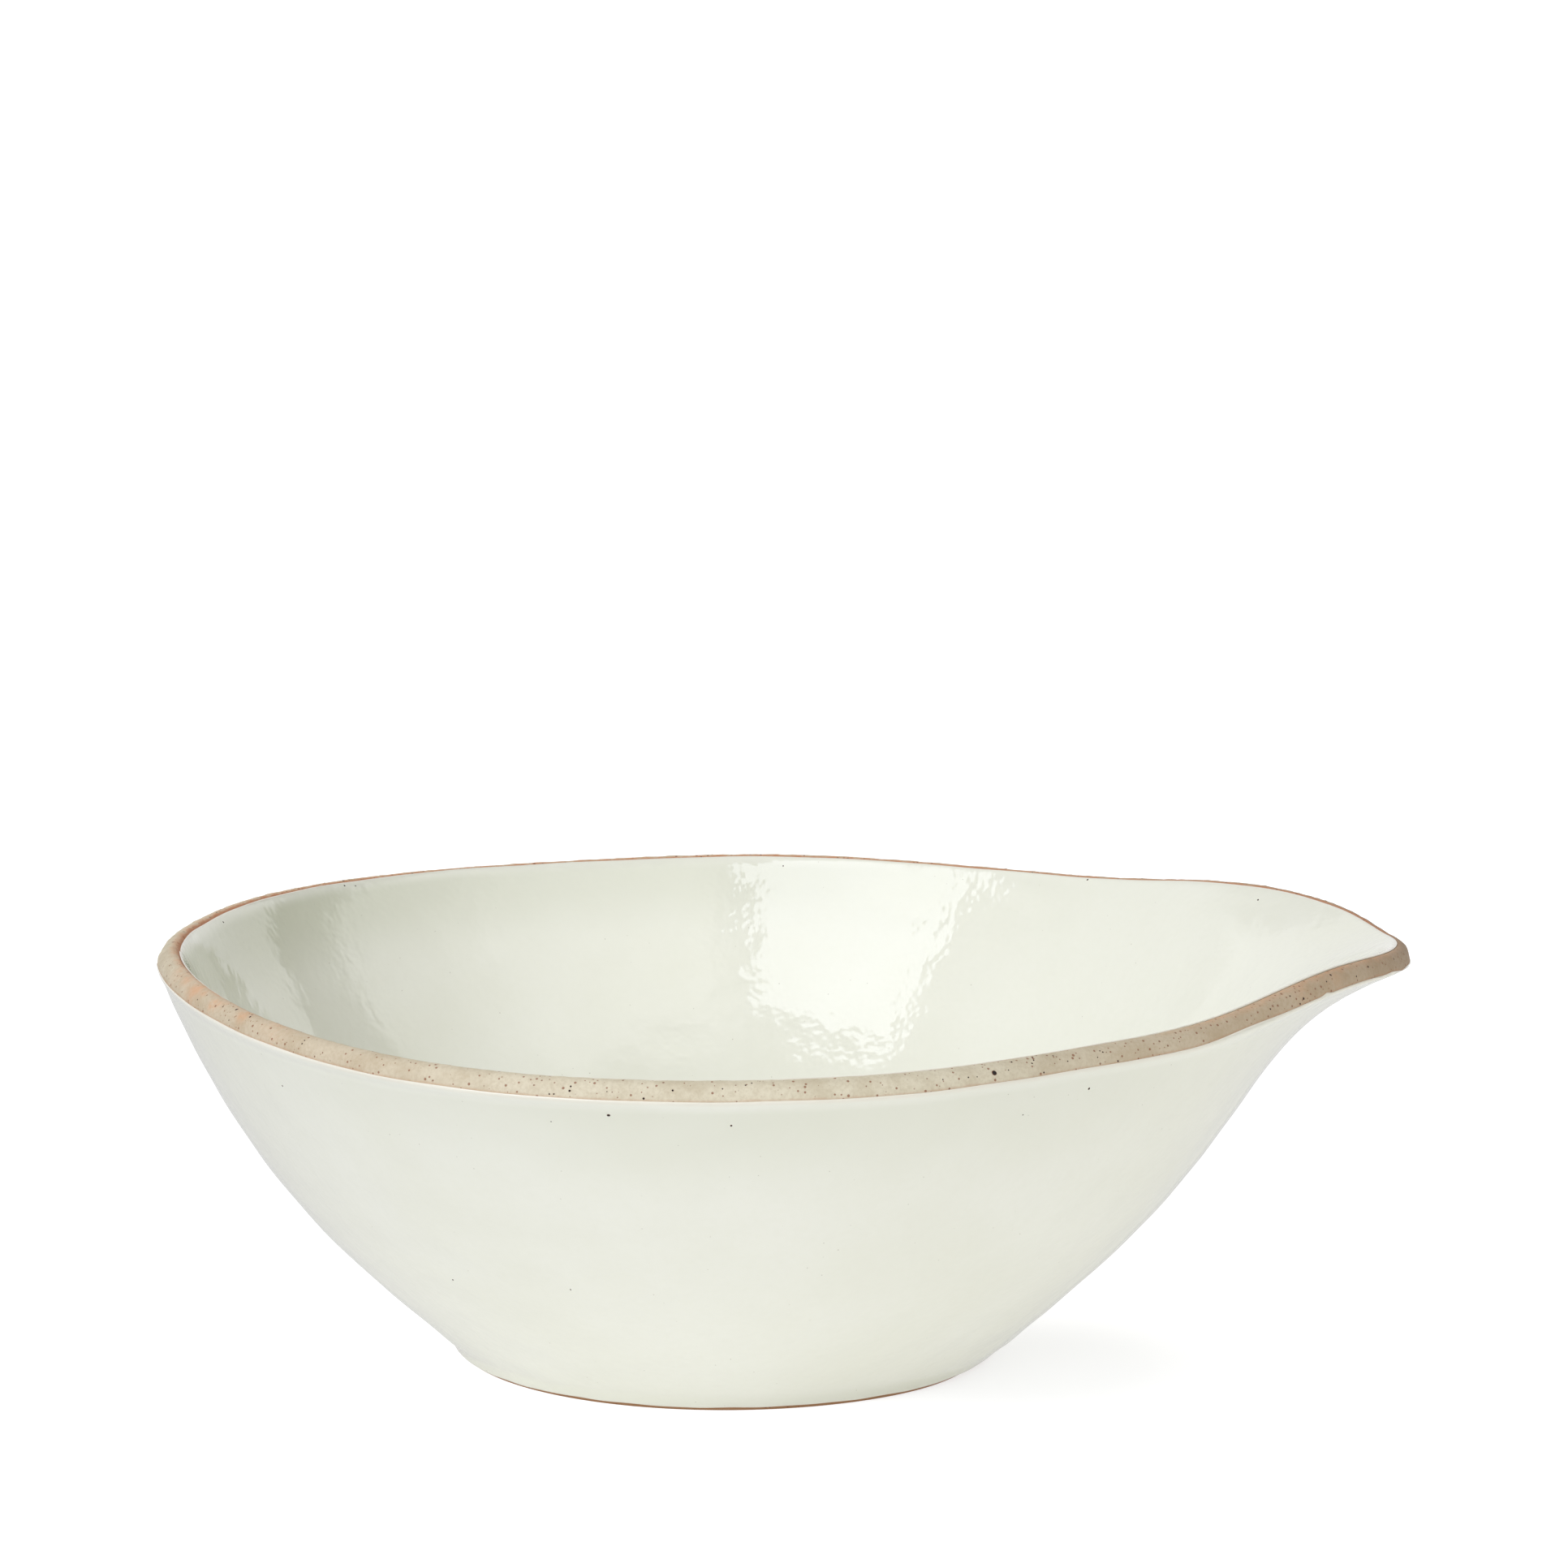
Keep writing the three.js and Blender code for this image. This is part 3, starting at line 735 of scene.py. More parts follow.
def outside_coat_mesh(bowl):
    """The coat outside: its face from the foot up to the rim, and its back down again."""
    s, turns = bowl.sizes, bowl.turns
    low = (bowl.foot_edge - s.foot_height) / bowl.foot_way[1]
    high = bowl.outline_length - bowl.outer_edge
    low_rises = [low + step for step in coat_steps(s, 1.1, 9, 14)]
    high_rises = [high - step for step in coat_steps(s, 1.0, 4.4, 14)]
    middle = [low_rises[-1] * (1 - t) + high_rises[-1] * t for t in np.linspace(0, 1, 74)[1:-1]]
    rises = low_rises + middle + high_rises[::-1]

    def ring(rise, lift):
        near_foot = np.mean(rise) < 4 * s.foot_fillet
        face = bowl.filled_corner if near_foot else bowl.foot_or_wall
        return face(turns, rise) + bowl.normal(face, turns, rise) * np.broadcast_to(lift, turns.shape)[..., None]

    face, distances = [], []
    for rise in rises:
        from_rim, from_foot = high - rise, rise - low
        thinned = s.rim_glaze_thinning * smooth(1 - from_rim / THINNING_REACH)
        face.append(ring(rise, coat_lift(s, np.minimum(from_foot, from_rim), from_rim, thinned)))
        distances.append((from_rim, from_foot))
    face, distances = np.array(face), np.array(distances)
    face = face + grid_normals(face) * uneven(bowl, face, distances.min(axis=1), 41)[..., None]
    back_rises = [high] + [high * (1 - t) + low * t for t in np.linspace(0, 1, 34)[1:-1]] + [low]
    back = np.array([ring(rise, s.glaze_gap) for rise in back_rises])
    mesh = grid_mesh("outside_glaze_coat", np.concatenate([face, back]))
    no_edge = np.full(back.shape[:2], COAT_FAR)
    add_values(mesh, "from_rim", np.concatenate([distances[:, 0], no_edge]) / MM)
    add_values(mesh, "from_foot", np.concatenate([distances[:, 1], no_edge]) / MM)
    # Share of painted shade under the rim, around the bowl
    add_values(mesh, "rim_shade_share", np.tile(around(turns, OUTSIDE_RIM_SHADE), len(face) + len(back)))
    return mesh


def inside_coat_mesh(bowl):
    """The coat inside: its back from the middle of the floor up to the rim, and its face down again."""
    s, turns = bowl.sizes, bowl.turns
    edge = bowl.inner_edge / bowl.inner_lip_length
    lip_shares = [edge + step / bowl.inner_lip_length for step in coat_steps(s, 1.0, 3.4, 9)]
    lip_shares += [lip_shares[-1] * (1 - t) + t for t in (0.35, 0.7)]
    walls = np.linspace(bowl.lip_start, bowl.floor_start, 68)
    floors = np.concatenate([np.linspace(0, 0.86, 26)[1:], np.linspace(0.88, 0.985, 5)])
    face, distances = [], []
    for share in lip_shares:
        distance = (share - edge) * bowl.inner_lip_length
        face.append(bowl.inner_lip(turns, share, coat_lift(s, distance, distance)))
        distances.append(distance)
    lip_end = bowl.inner_lip_length - bowl.inner_edge
    whole = s.glaze_gap + s.glaze_thickness
    for along in walls:
        distance = lip_end + (bowl.lip_start - along) * bowl.outline_length
        face.append(bowl.inner_wall(turns, along, np.full(turns.shape, whole)))
        distances.append(distance)
    for share in floors:
        face.append(bowl.inner_floor(turns, share, whole))
        distances.append(distances[-1] + 1 * MM)
    face, distances = np.array(face), np.array(distances)
    calm = smooth(np.hypot(face[..., 0], face[..., 1]) / (30 * MM))
    face = face + grid_normals(face) * (calm * uneven(bowl, face, distances, 42))[..., None]
    back = [bowl.inner_floor(turns, share, s.glaze_gap) for share in np.linspace(0.97, 0.03, 10)]
    back += [bowl.inner_wall(turns, along, np.full(turns.shape, s.glaze_gap)) for along in
             np.linspace(bowl.floor_start, bowl.lip_start, 26)]
    back += [bowl.inner_lip(turns, 1 - t + edge * t, s.glaze_gap) for t in np.linspace(0, 1, 7)[1:]]
    back = np.array(back)
    under = (0, 0, bowl.floor_height + s.glaze_gap)
    mesh = grid_mesh("inside_glaze_coat", np.concatenate([back, face]), under, (0, 0, bowl.floor_height + whole))
    no_edge = np.full(back.shape[:2], COAT_FAR)
    add_values(mesh, "from_rim", np.concatenate([no_edge, distances]) / MM)
    add_values(mesh, "from_foot", np.full(len(mesh.vertices), COAT_FAR / MM))
    # Share of painted shade under the rim, around the bowl
    add_values(mesh, "rim_shade_share", np.tile(around(turns, INSIDE_RIM_SHADE), len(face) + len(back)))
    return mesh


def base_coat_mesh(bowl):
    """A thin puddle of glaze under the base, with a rounded edge."""
    s, turns = bowl.sizes, bowl.turns
    radius = (BASE_HIGH.x - BASE_LOW.x) / 2 + s.edge_wander * 2 * wander(turns, 14)
    top = s.recess_depth - s.glaze_gap
    steps = edge_steps(s.glaze_round, 6)
    flat = [(radius - steps[-1]) * share for share in np.linspace(0.03, 1, 26)]
    reaches = flat + [radius - step for step in steps[-2::-1]]
    under = []
    for reach in reaches:
        height = s.glaze_thickness * rounded_edge(radius - reach, s.glaze_round)
        ring = polar(reach, turns, top - height)
        swell = waves(ring, s.surface_spacing, 43) * s.surface_swell * smooth((radius - reach) / EVEN_REACH)
        ring[..., 2] += swell * smooth(reach / (20 * MM))
        under.append(ring)
    over = [polar(radius * share, turns, top) for share in (1, 0.75, 0.5, 0.25, 0.05)]
    distances = np.array([radius - reach for reach in reaches] + [np.full(turns.shape, COAT_FAR)] * len(over))
    rings = np.array(under + over)
    mesh = grid_mesh("base_glaze_coat", rings, (0, 0, top - s.glaze_thickness), (0, 0, top))
    add_values(mesh, "from_rim", np.full(len(mesh.vertices), COAT_FAR / MM))
    add_values(mesh, "from_foot", distances / MM)
    return mesh


# Materials


def add_node(tree, kind, inputs=None, **settings):
    """A node with its settings and inputs; an input that is another node's socket is linked."""
    made = tree.nodes.new(kind)
    for key, value in settings.items():
        setattr(made, key, value)
    for key, value in (inputs or {}).items():
        if isinstance(value, bpy.types.NodeSocket):
            tree.links.new(value, made.inputs[key])
        else:
            made.inputs[key].default_value = value
    return made


def calculate(tree, operation, a, b=0.0, clamp=False):
    return add_node(tree, "ShaderNodeMath", {0: a, 1: b}, operation=operation, use_clamp=clamp).outputs[0]


def spread_range(tree, value, low, high, to_low=0.0, to_high=1.0):
    inputs = {"Value": value, "From Min": low, "From Max": high, "To Min": to_low, "To Max": to_high}
    return add_node(tree, "ShaderNodeMapRange", inputs, interpolation_type="SMOOTHSTEP").outputs[0]


def mix_colour(tree, factor, a, b):
    return add_node(tree, "ShaderNodeMix", {0: factor, 6: solid(a), 7: solid(b)}, data_type="RGBA").outputs[2]


def mix_number(tree, factor, a, b):
    return add_node(tree, "ShaderNodeMix", {0: factor, 2: a, 3: b}, data_type="FLOAT").outputs[0]


def vector_number(tree, operation, a, b):
    return add_node(tree, "ShaderNodeVectorMath", {0: a, 1: tuple(b)}, operation=operation).outputs["Value"]


def solid(value):
    return value if isinstance(value, bpy.types.NodeSocket) else (*value, 1.0)


def noise(tree, place, spacing, detail=2.0, roughness=0.5):
    inputs = {"Vector": place, "Scale": 1 / spacing, "Detail": detail, "Roughness": roughness}
    return add_node(tree, "ShaderNodeTexNoise", inputs).outputs["Fac"]


def dots(tree, place, spacing, least, largest, chance):
    """Round dots, one in each cell that a share of chance picks, with sizes in millimetres: 1 inside, 0 outside."""
    spacing, least, largest = spacing * MM, least * MM, largest * MM
    cells = add_node(tree, "ShaderNodeTexVoronoi", {"Vector": place, "Scale": 1 / spacing, "Randomness": 1.0})
    drawn = add_node(tree, "ShaderNodeSeparateColor", {"Color": cells.outputs["Color"]})
    radius = add_node(
        tree, "ShaderNodeMapRange",
        {"Value": drawn.outputs[0], "From Min": 0.0, "From Max": 1.0,
         "To Min": least / spacing, "To Max": largest / spacing}).outputs[0]
    inside = calculate(tree, "SUBTRACT", radius, cells.outputs["Distance"])
    soft = calculate(tree, "MULTIPLY", inside, spacing / DOT_SOFTNESS, clamp=True)
    picked = calculate(tree, "LESS_THAN", drawn.outputs[1], chance)
    return calculate(tree, "MULTIPLY", soft, picked)


def attribute(tree, name):
    return add_node(tree, "ShaderNodeAttribute", attribute_name=name).outputs["Fac"]


def new_material(name):
    material = bpy.data.materials.new(name)
    material.use_nodes = True
    tree = material.node_tree
    shader = tree.nodes["Principled BSDF"]
    place = add_node(tree, "ShaderNodeTexCoord").outputs["Object"]
    return material, tree, shader, place


def empty_material(name):
    """A material without nodes, whose glow isn't sampled as a lamp."""
    material = bpy.data.materials.new(name)
    material.use_nodes = True
    material.node_tree.nodes.clear()
    material.cycles.emission_sampling = "NONE"
    return material, material.node_tree


def glowing(tree, strength):
    return add_node(tree, "ShaderNodeEmission", {"Color": WHITE, "Strength": strength}).outputs[0]


def glowing_matt(tree, tint, strength):
    matt = add_node(tree, "ShaderNodeBsdfDiffuse", {"Color": tint}).outputs[0]
    return add_node(tree, "ShaderNodeAddShader", {0: matt, 1: glowing(tree, strength)}).outputs[0]


def mix_shader(tree, factor, first, second):
    return add_node(tree, "ShaderNodeMixShader", {0: factor, 1: first, 2: second}).outputs[0]


def connect(tree, shader, **sockets):
    for name, value in sockets.items():
        tree.links.new(value, shader.inputs[name.replace("_", " ")])


def glaze_material(name, finish, depth, rim_shade, rim_shade_reach, ripples):
    """Glossy glaze: milky to pale green, darker green with painted shade under the rim and with pooled glaze over the
    foot, creamy at its edges, freckled, with fine ripples.
    """
    material, tree, shader, place = new_material(name)
    from_rim, from_foot = attribute(tree, "from_rim"), attribute(tree, "from_foot")
    clouds = spread_range(tree, noise(tree, place, CLOUD_SPACING, 3.0), 0.3, 0.75, depth, depth + CLOUD_DEPTH)
    tint = mix_colour(tree, clouds, finish.milk, finish.celadon)
    # Painted shade under the rim, and pooled glaze over the foot, both in the dark green colour
    under_rim = spread_range(tree, from_rim, *RIM_SHADE_START)
    shaded_under_rim = calculate(tree, "MULTIPLY", under_rim, spread_range(tree, from_rim, 2.0, rim_shade_reach, rim_shade, 0.0))
    shaded_under_rim = calculate(tree, "MULTIPLY", shaded_under_rim, attribute(tree, "rim_shade_share"))
    at_foot = spread_range(tree, from_foot, *FOOT_POOL, FOOT_POOL_SHARE, 0.0)
    tint = mix_colour(tree, calculate(tree, "MAXIMUM", shaded_under_rim, at_foot), tint, finish.pool)
    haze = spread_range(tree, noise(tree, place, HAZE_SPACING, 2.0), 0.3, 0.8, 0.0, HAZE_SHARE)
    tint = mix_colour(tree, haze, tint, finish.celadon)
    freckles = calculate(tree, "MULTIPLY", dots(tree, place, *FRECKLES), FRECKLE_SHARE)
    tint = mix_colour(tree, freckles, tint, finish.freckle)
    nearest = calculate(tree, "MINIMUM", from_rim, from_foot)
    thin = spread_range(tree, nearest, 0.0, THIN_WIDTH, THIN_SHARE, 0.0)
    tint = mix_colour(tree, thin, tint, finish.glaze_edge)
    worn = spread_range(tree, noise(tree, place, 6 * MM, 2.0), 0.3, 0.7, *GLAZE_ROUGHNESS)
    peel = 0.0
    for spacing, share in RIPPLES:
        peel = calculate(tree, "ADD", calculate(tree, "MULTIPLY", noise(tree, place, spacing * MM, 0.0), share), peel)
    bump = add_node(tree, "ShaderNodeBump", {"Height": peel, "Distance": finish.peel * ripples, "Strength": 1.0})
    connect(tree, shader, Base_Color=tint, Roughness=worn, Normal=bump.outputs[0])
    shader.inputs["IOR"].default_value = GLAZE_IOR
    return material


def clay_material(finish):
    """Matt sandy clay: mottled, grainy and freckled, browner at the spout, the back and the foot, with painted shade
    over the spout and its tip, and with orange flashing where the glaze ends.
    """
    material, tree, shader, place = new_material("bare_stoneware")
    from_outer, from_inner = attribute(tree, "from_outer_edge"), attribute(tree, "from_inner_edge")
    blush, brown_and_shade, shaded_tip = (attribute(tree, name) for name in ("blush", "brown_and_shade", "shaded_tip"))
    mottle = spread_range(tree, noise(tree, place, MOTTLE_SPACING, 4.0, 0.6), 0.35, 0.7)
    tint = mix_colour(tree, calculate(tree, "MULTIPLY", mottle, MOTTLE_SHARE), finish.sand, finish.dark_sand)
    grain = noise(tree, place, GRAIN_SPACING, 3.0, 0.65)
    tint = mix_colour(tree, spread_range(tree, grain, 0.35, 0.75, 0.0, GRAIN_SHARE), tint, finish.dark_sand)
    # Browner clay; at the spout partly painted shade
    tint = mix_colour(tree, brown_and_shade, tint, finish.toast_and_shade)
    # Painted shade on the spout's tip
    tint = mix_colour(tree, shaded_tip, tint, finish.tip_shade)
    ragged = noise(tree, place, 3.0 * MM, 3.0, 0.6)
    inner_line = spread_range(tree, calculate(tree, "SUBTRACT", from_inner, ragged), -0.3, 0.7, 0.9, 0.0)
    inner_line = calculate(tree, "MULTIPLY", inner_line, attribute(tree, "flashing"))
    outer_line = spread_range(tree, calculate(tree, "SUBTRACT", from_outer, ragged), -0.55, 0.2, 0.3, 0.0)
    patchy = calculate(tree, "MULTIPLY", blush, spread_range(tree, ragged, 0.3, 0.65, 0.25, 1.0))
    tint = mix_colour(tree, patchy, tint, finish.blush)
    tint = mix_colour(tree, calculate(tree, "MAXIMUM", inner_line, outer_line), tint, finish.flashing)
    rusty = calculate(tree, "MULTIPLY", dots(tree, place, *RUSTY_GRAINS), RUSTY_SHARE)
    tint = mix_colour(tree, rusty, tint, finish.rust)
    dark = calculate(tree, "MULTIPLY", dots(tree, place, *DARK_GRAINS), DARK_SHARE)
    tint = mix_colour(tree, dark, tint, finish.iron_rim)
    bump = add_node(tree, "ShaderNodeBump", {"Height": grain, "Distance": GRAIN_HEIGHT, "Strength": 0.8})
    rough = spread_range(tree, grain, 0.3, 0.7, *CLAY_ROUGHNESS)
    connect(tree, shader, Base_Color=tint, Roughness=rough, Normal=bump.outputs[0])
    return material


def iron_material(name, finish, roughness):
    """Melted iron: black in the middle of a speck and rusty at its rim."""
    material, tree, shader, place = new_material(name)
    outwards = spread_range(tree, attribute(tree, "from_middle"), 0.55, 1.0)
    cloudy = noise(tree, place, 0.5 * MM, 2.0)
    amount = calculate(tree, "MULTIPLY", outwards, spread_range(tree, cloudy, 0.2, 0.7, 0.6, 1.0))
    tint = mix_colour(tree, amount, finish.iron, finish.iron_rim)
    rough = spread_range(tree, cloudy, 0.3, 0.7, roughness, roughness + 0.15)
    connect(tree, shader, Base_Color=tint, Roughness=rough)
    return material


# Iron specks


def speck_tree():
    """Sets a flattened drop on every point of a mesh, by the point's own radius and direction."""
    tree = bpy.data.node_groups.new("Iron specks", "GeometryNodeTree")
    tree.is_modifier = True
    sockets = tree.interface
    sockets.new_socket("Places", in_out="INPUT", socket_type="NodeSocketGeometry")
    sockets.new_socket("Flatness", in_out="INPUT", socket_type="NodeSocketFloat")
    sockets.new_socket("Sides", in_out="INPUT", socket_type="NodeSocketInt")
    sockets.new_socket("Material", in_out="INPUT", socket_type="NodeSocketMaterial")
    sockets.new_socket("Specks", in_out="OUTPUT", socket_type="NodeSocketGeometry")
    start, end = add_node(tree, "NodeGroupInput"), add_node(tree, "NodeGroupOutput")
    drop = add_node(
        tree, "GeometryNodeMeshUVSphere", {"Segments": start.outputs["Sides"], "Rings": SPECK_RINGS, "Radius": 1.0})
    position = add_node(tree, "GeometryNodeInputPosition").outputs[0]
    flat = add_node(tree, "ShaderNodeVectorMath", {0: position, 1: (1, 1, 0)}, operation="MULTIPLY").outputs[0]
    reach = add_node(tree, "ShaderNodeVectorMath", {0: flat}, operation="LENGTH").outputs["Value"]
    named = add_node(
        tree, "GeometryNodeStoreNamedAttribute",
        {"Geometry": drop.outputs["Mesh"], "Name": "from_middle", "Value": reach}, data_type="FLOAT", domain="POINT")
    radius = add_node(tree, "GeometryNodeInputNamedAttribute", {"Name": "speck_radius"}, data_type="FLOAT").outputs[0]
    way = add_node(tree, "GeometryNodeInputNamedAttribute", {"Name": "speck_way"}, data_type="FLOAT_VECTOR").outputs[0]
    turned = add_node(tree, "FunctionNodeAlignRotationToVector", {"Vector": way}, axis="Z").outputs[0]
    height = calculate(tree, "MULTIPLY", radius, start.outputs["Flatness"])
    least, most = SPECK_STRETCH
    stretch = add_node(tree, "FunctionNodeRandomValue", {2: least, 3: most, "Seed": 7}, data_type="FLOAT").outputs[1]
    wide = calculate(tree, "MULTIPLY", radius, stretch)
    scale = add_node(tree, "ShaderNodeCombineXYZ", {0: wide, 1: radius, 2: height}).outputs[0]
    spread = add_node(
        tree, "GeometryNodeInstanceOnPoints",
        {"Points": start.outputs["Places"], "Instance": named.outputs[0], "Rotation": turned, "Scale": scale})
    real = add_node(tree, "GeometryNodeRealizeInstances", {"Geometry": spread.outputs[0]})
    round_off = add_node(tree, "GeometryNodeSetShadeSmooth", {"Geometry": real.outputs[0]})
    dressed = add_node(
        tree, "GeometryNodeSetMaterial", {"Geometry": round_off.outputs[0], "Material": start.outputs["Material"]})
    tree.links.new(dressed.outputs[0], end.inputs["Specks"])
    return tree


def set_input(modifier, name, value):
    for socket in modifier.node_group.interface.items_tree:
        if socket.name == name and socket.in_out == "INPUT":
            modifier[socket.identifier] = value


def speck_mesh(name, tree, places, ways, radii, material):
    """The mesh that the tree makes of these places."""
    points = bpy.data.meshes.new(name)
    points.from_pydata([tuple(p) for p in places], [], [])
    points.attributes.new("speck_radius", "FLOAT", "POINT").data.foreach_set("value", np.array(radii, np.float32))
    flat_ways = np.array([tuple(w) for w in ways], np.float32).ravel()
    points.attributes.new("speck_way", "FLOAT_VECTOR", "POINT").data.foreach_set("vector", flat_ways)
    scratch = new_object(name + "_points", points)
    modifier = scratch.modifiers.new("Iron specks", "NODES")
    modifier.node_group = tree
    set_input(modifier, "Flatness", SPECK_FLATNESS)
    set_input(modifier, "Sides", SPECK_SIDES)
    set_input(modifier, "Material", material)
    depsgraph = bpy.context.evaluated_depsgraph_get()
    mesh = bpy.data.meshes.new_from_object(
        scratch.evaluated_get(depsgraph), preserve_all_data_layers=True, depsgraph=depsgraph)
    scratch.modifiers.clear()
    bpy.data.objects.remove(scratch)
    mesh.name = name
    return mesh


def hidden_places(piece, radii, count, seed, keep):
    """Random points of a piece that the photograph doesn't show, with normals and radii between two in millimetres."""
    draw = np.random.default_rng(seed)
    found = []
    vertices = piece.data.vertices
    while len(found) < count:
        vertex = vertices[int(draw.integers(len(vertices)))]
        if keep(vertex.co, vertex.normal):
            found.append((vertex.co.copy(), vertex.normal.copy(), draw.uniform(*radii) * MM))
    return found


# Camera and light


def camera_frame(stage):
    """Place and axes of the photograph's camera: right, up and forward, in the part's frame."""
    p, r = stage.pitch, stage.roll
    forward = Vector((0, math.cos(p), -math.sin(p)))
    level_up = Vector((0, math.sin(p), math.cos(p)))
    level_right = Vector((1, 0, 0))
    right = math.cos(r) * level_right + math.sin(r) * level_up
    up = math.cos(r) * level_up - math.sin(r) * level_right
    turned = Matrix.Rotation(-stage.turn, 3, "Z")
    right, up, forward = turned @ right, turned @ up, turned @ forward
    place = AXIS - pixel_way(stage, right, up, forward, *stage.foot_pixel) * stage.distance
    return place, right, up, forward


def pixel_way(stage, right, up, forward, across, down):
    """Direction in which the camera sees a pixel of the photograph."""
    middle = PHOTO_SIZE / 2
    way = forward + right * ((across - middle) / stage.focus) - up * ((down - middle) / stage.focus)
    return way.normalized()


def stage_way(stage, azimuth, elevation):
    """Direction from the bowl, with azimuth from the camera towards its right."""
    way = Vector((
        math.sin(azimuth) * math.cos(elevation), -math.cos(azimuth) * math.cos(elevation), math.sin(elevation)))
    return Matrix.Rotation(-stage.turn, 3, "Z") @ way


def seen_places(stage, specks):
    """What the camera sees at these pixels: the place, its normal, and the rest of the entry."""
    place, right, up, forward = camera_frame(stage)
    depsgraph = bpy.context.evaluated_depsgraph_get()
    found = []
    for across, down, *rest in specks:
        way = pixel_way(stage, right, up, forward, across, down)
        hit, point, normal, *_ = bpy.context.scene.ray_cast(depsgraph, place, way)
        if not hit:
            raise RuntimeError(f"nothing of the bowl is at pixel {across}, {down}")
        found.append((point, normal, rest))
    return found


def make_camera(stage):
    place, right, up, forward = camera_frame(stage)
    lens = bpy.data.cameras.new("photo_camera")
    lens.sensor_width = SENSOR_WIDTH
    lens.lens = stage.focus * SENSOR_WIDTH / PHOTO_SIZE
    lens.clip_start, lens.clip_end = 0.05, 100
    camera = new_object("photo_camera", lens)
    axes = Matrix((right, up, -forward)).transposed().to_4x4()
    camera.matrix_world = Matrix.Translation(place) @ axes
    bpy.context.scene.camera = camera


def make_softbox(stage):
    lamp = bpy.data.lights.new("softbox", "AREA")
    lamp.shape = "RECTANGLE"
    lamp.size, lamp.size_y = stage.key_size
    lamp.energy = stage.key_power
    lamp.color = stage.key_colour
    box = new_object("softbox", lamp)
    way = stage_way(stage, stage.key_azimuth, stage.key_elevation)
    box.location = KEY_AIM + way * stage.key_distance
    box.rotation_euler = way.to_track_quat("Z", "Y").to_euler()


def lit_share(azimuth, elevation, middle, half, soft, low, high, soft_height):
    """1 inside a lit part of the room and 0 outside it, with soft edges; all in degrees."""
    aside = np.abs((azimuth - middle + 180) % 360 - 180)
    across = smooth((half - aside) / soft + 0.5)
    return across * smooth((elevation - low) / soft_height + 0.5) * smooth((high - elevation) / soft_height + 0.5)


def make_room(stage, radius=4.0):
    """A room around the bowl that the camera doesn't see, lit all round but for the lower right."""
    azimuths, elevations = np.arange(0, 360, 1.5), np.linspace(0, 88, 45)
    across, up = (grid.ravel() for grid in np.meshgrid(azimuths, elevations))
    points = [tuple(stage_way(stage, a, e) * radius) for a, e in zip(np.radians(across), np.radians(up))]
    index = np.arange(len(points)).reshape(len(elevations), len(azimuths))
    beside = np.roll(index, -1, axis=1)
    faces = np.stack([index[:-1], beside[:-1], beside[1:], index[1:]], axis=-1).reshape(-1, 4).tolist()
    mesh = bpy.data.meshes.new("room")
    mesh.from_pydata(points, [], faces + [index[-1].tolist()])
    glow = np.zeros(len(points))
    for light, *part in ROOM_PARTS:
        glow += getattr(stage, light) * lit_share(across, up, *part)
    add_values(mesh, "glow", glow)
    material, tree = empty_material("lit_room")
    add_node(tree, "ShaderNodeOutputMaterial", {"Surface": glowing(tree, attribute(tree, "glow"))})
    mesh.materials.append(material)
    room = new_object("room", mesh)
    room.visible_camera = False
    room.visible_shadow = False


def floor_material(stage):
    """White for camera and reflections, with the bowl's shadow; plain white for the light that it throws back."""
    material, tree = empty_material("white_floor")
    path = add_node(tree, "ShaderNodeLightPath").outputs
    mirrored = calculate(tree, "MAXIMUM", path["Is Glossy Ray"], path["Is Transmission Ray"])
    seen = calculate(tree, "MAXIMUM", path["Is Camera Ray"], mirrored)
    place = add_node(tree, "ShaderNodeTexCoord").outputs["Object"]
    rightwards = stage_way(stage, math.pi / 2, 0)
    shadow = AXIS + rightwards * SHADOW_RIGHT + stage_way(stage, 0, 0) * SHADOW_NEAR
    from_axis = vector_number(tree, "DISTANCE", place, AXIS)
    right = vector_number(tree, "DOT_PRODUCT", place, rightwards)
    to_camera = spread_range(
        tree, vector_number(tree, "DISTANCE", place, shadow), *SHADOW_SPREAD, stage.floor_glow, 1.0)
    to_glaze = spread_range(tree, from_axis, *MIRRORED_SPREAD, stage.floor_mirrored, 1.0)
    shade = mix_number(tree, mirrored, stage.floor_shade, stage.floor_mirrored_shade)
    shown = glowing_matt(tree, shade, mix_number(tree, mirrored, to_camera, to_glaze))
    foot_left, foot_right, far_left, far_right = stage.floor_bounce
    near_foot = spread_range(tree, right, *BOUNCE_SIDES, foot_left, foot_right)
    far = spread_range(tree, right, *BOUNCE_SIDES, far_left, far_right)
    bounce = spread_range(tree, from_axis, *BOUNCE_SPREAD, near_foot, far)
    plain = glowing_matt(tree, (stage.floor_white,) * 3 + (1,), bounce)
    below = add_node(tree, "ShaderNodeNewGeometry").outputs["Backfacing"]
    clear = add_node(tree, "ShaderNodeBsdfTransparent").outputs[0]
    surface = mix_shader(tree, below, mix_shader(tree, seen, plain, shown), clear)
    add_node(tree, "ShaderNodeOutputMaterial", {"Surface": surface})
    return material


def make_floor(stage, radius=14.0, sides=96):
    ring = polar(radius, np.linspace(0, 2 * math.pi, sides, endpoint=False), 0).tolist()
    mesh = bpy.data.meshes.new("floor")
    mesh.from_pydata(ring, [], [list(range(sides))])
    mesh.materials.append(floor_material(stage))
    new_object("floor", mesh)


def make_world():
    world = bpy.data.worlds.new("white_backdrop")
    world.use_nodes = True
    background = world.node_tree.nodes["Background"]
    background.inputs["Color"].default_value = WHITE
    background.inputs["Strength"].default_value = 1.0
    bpy.context.scene.world = world
    bpy.context.scene.view_settings.view_transform = "Standard"


# Operators


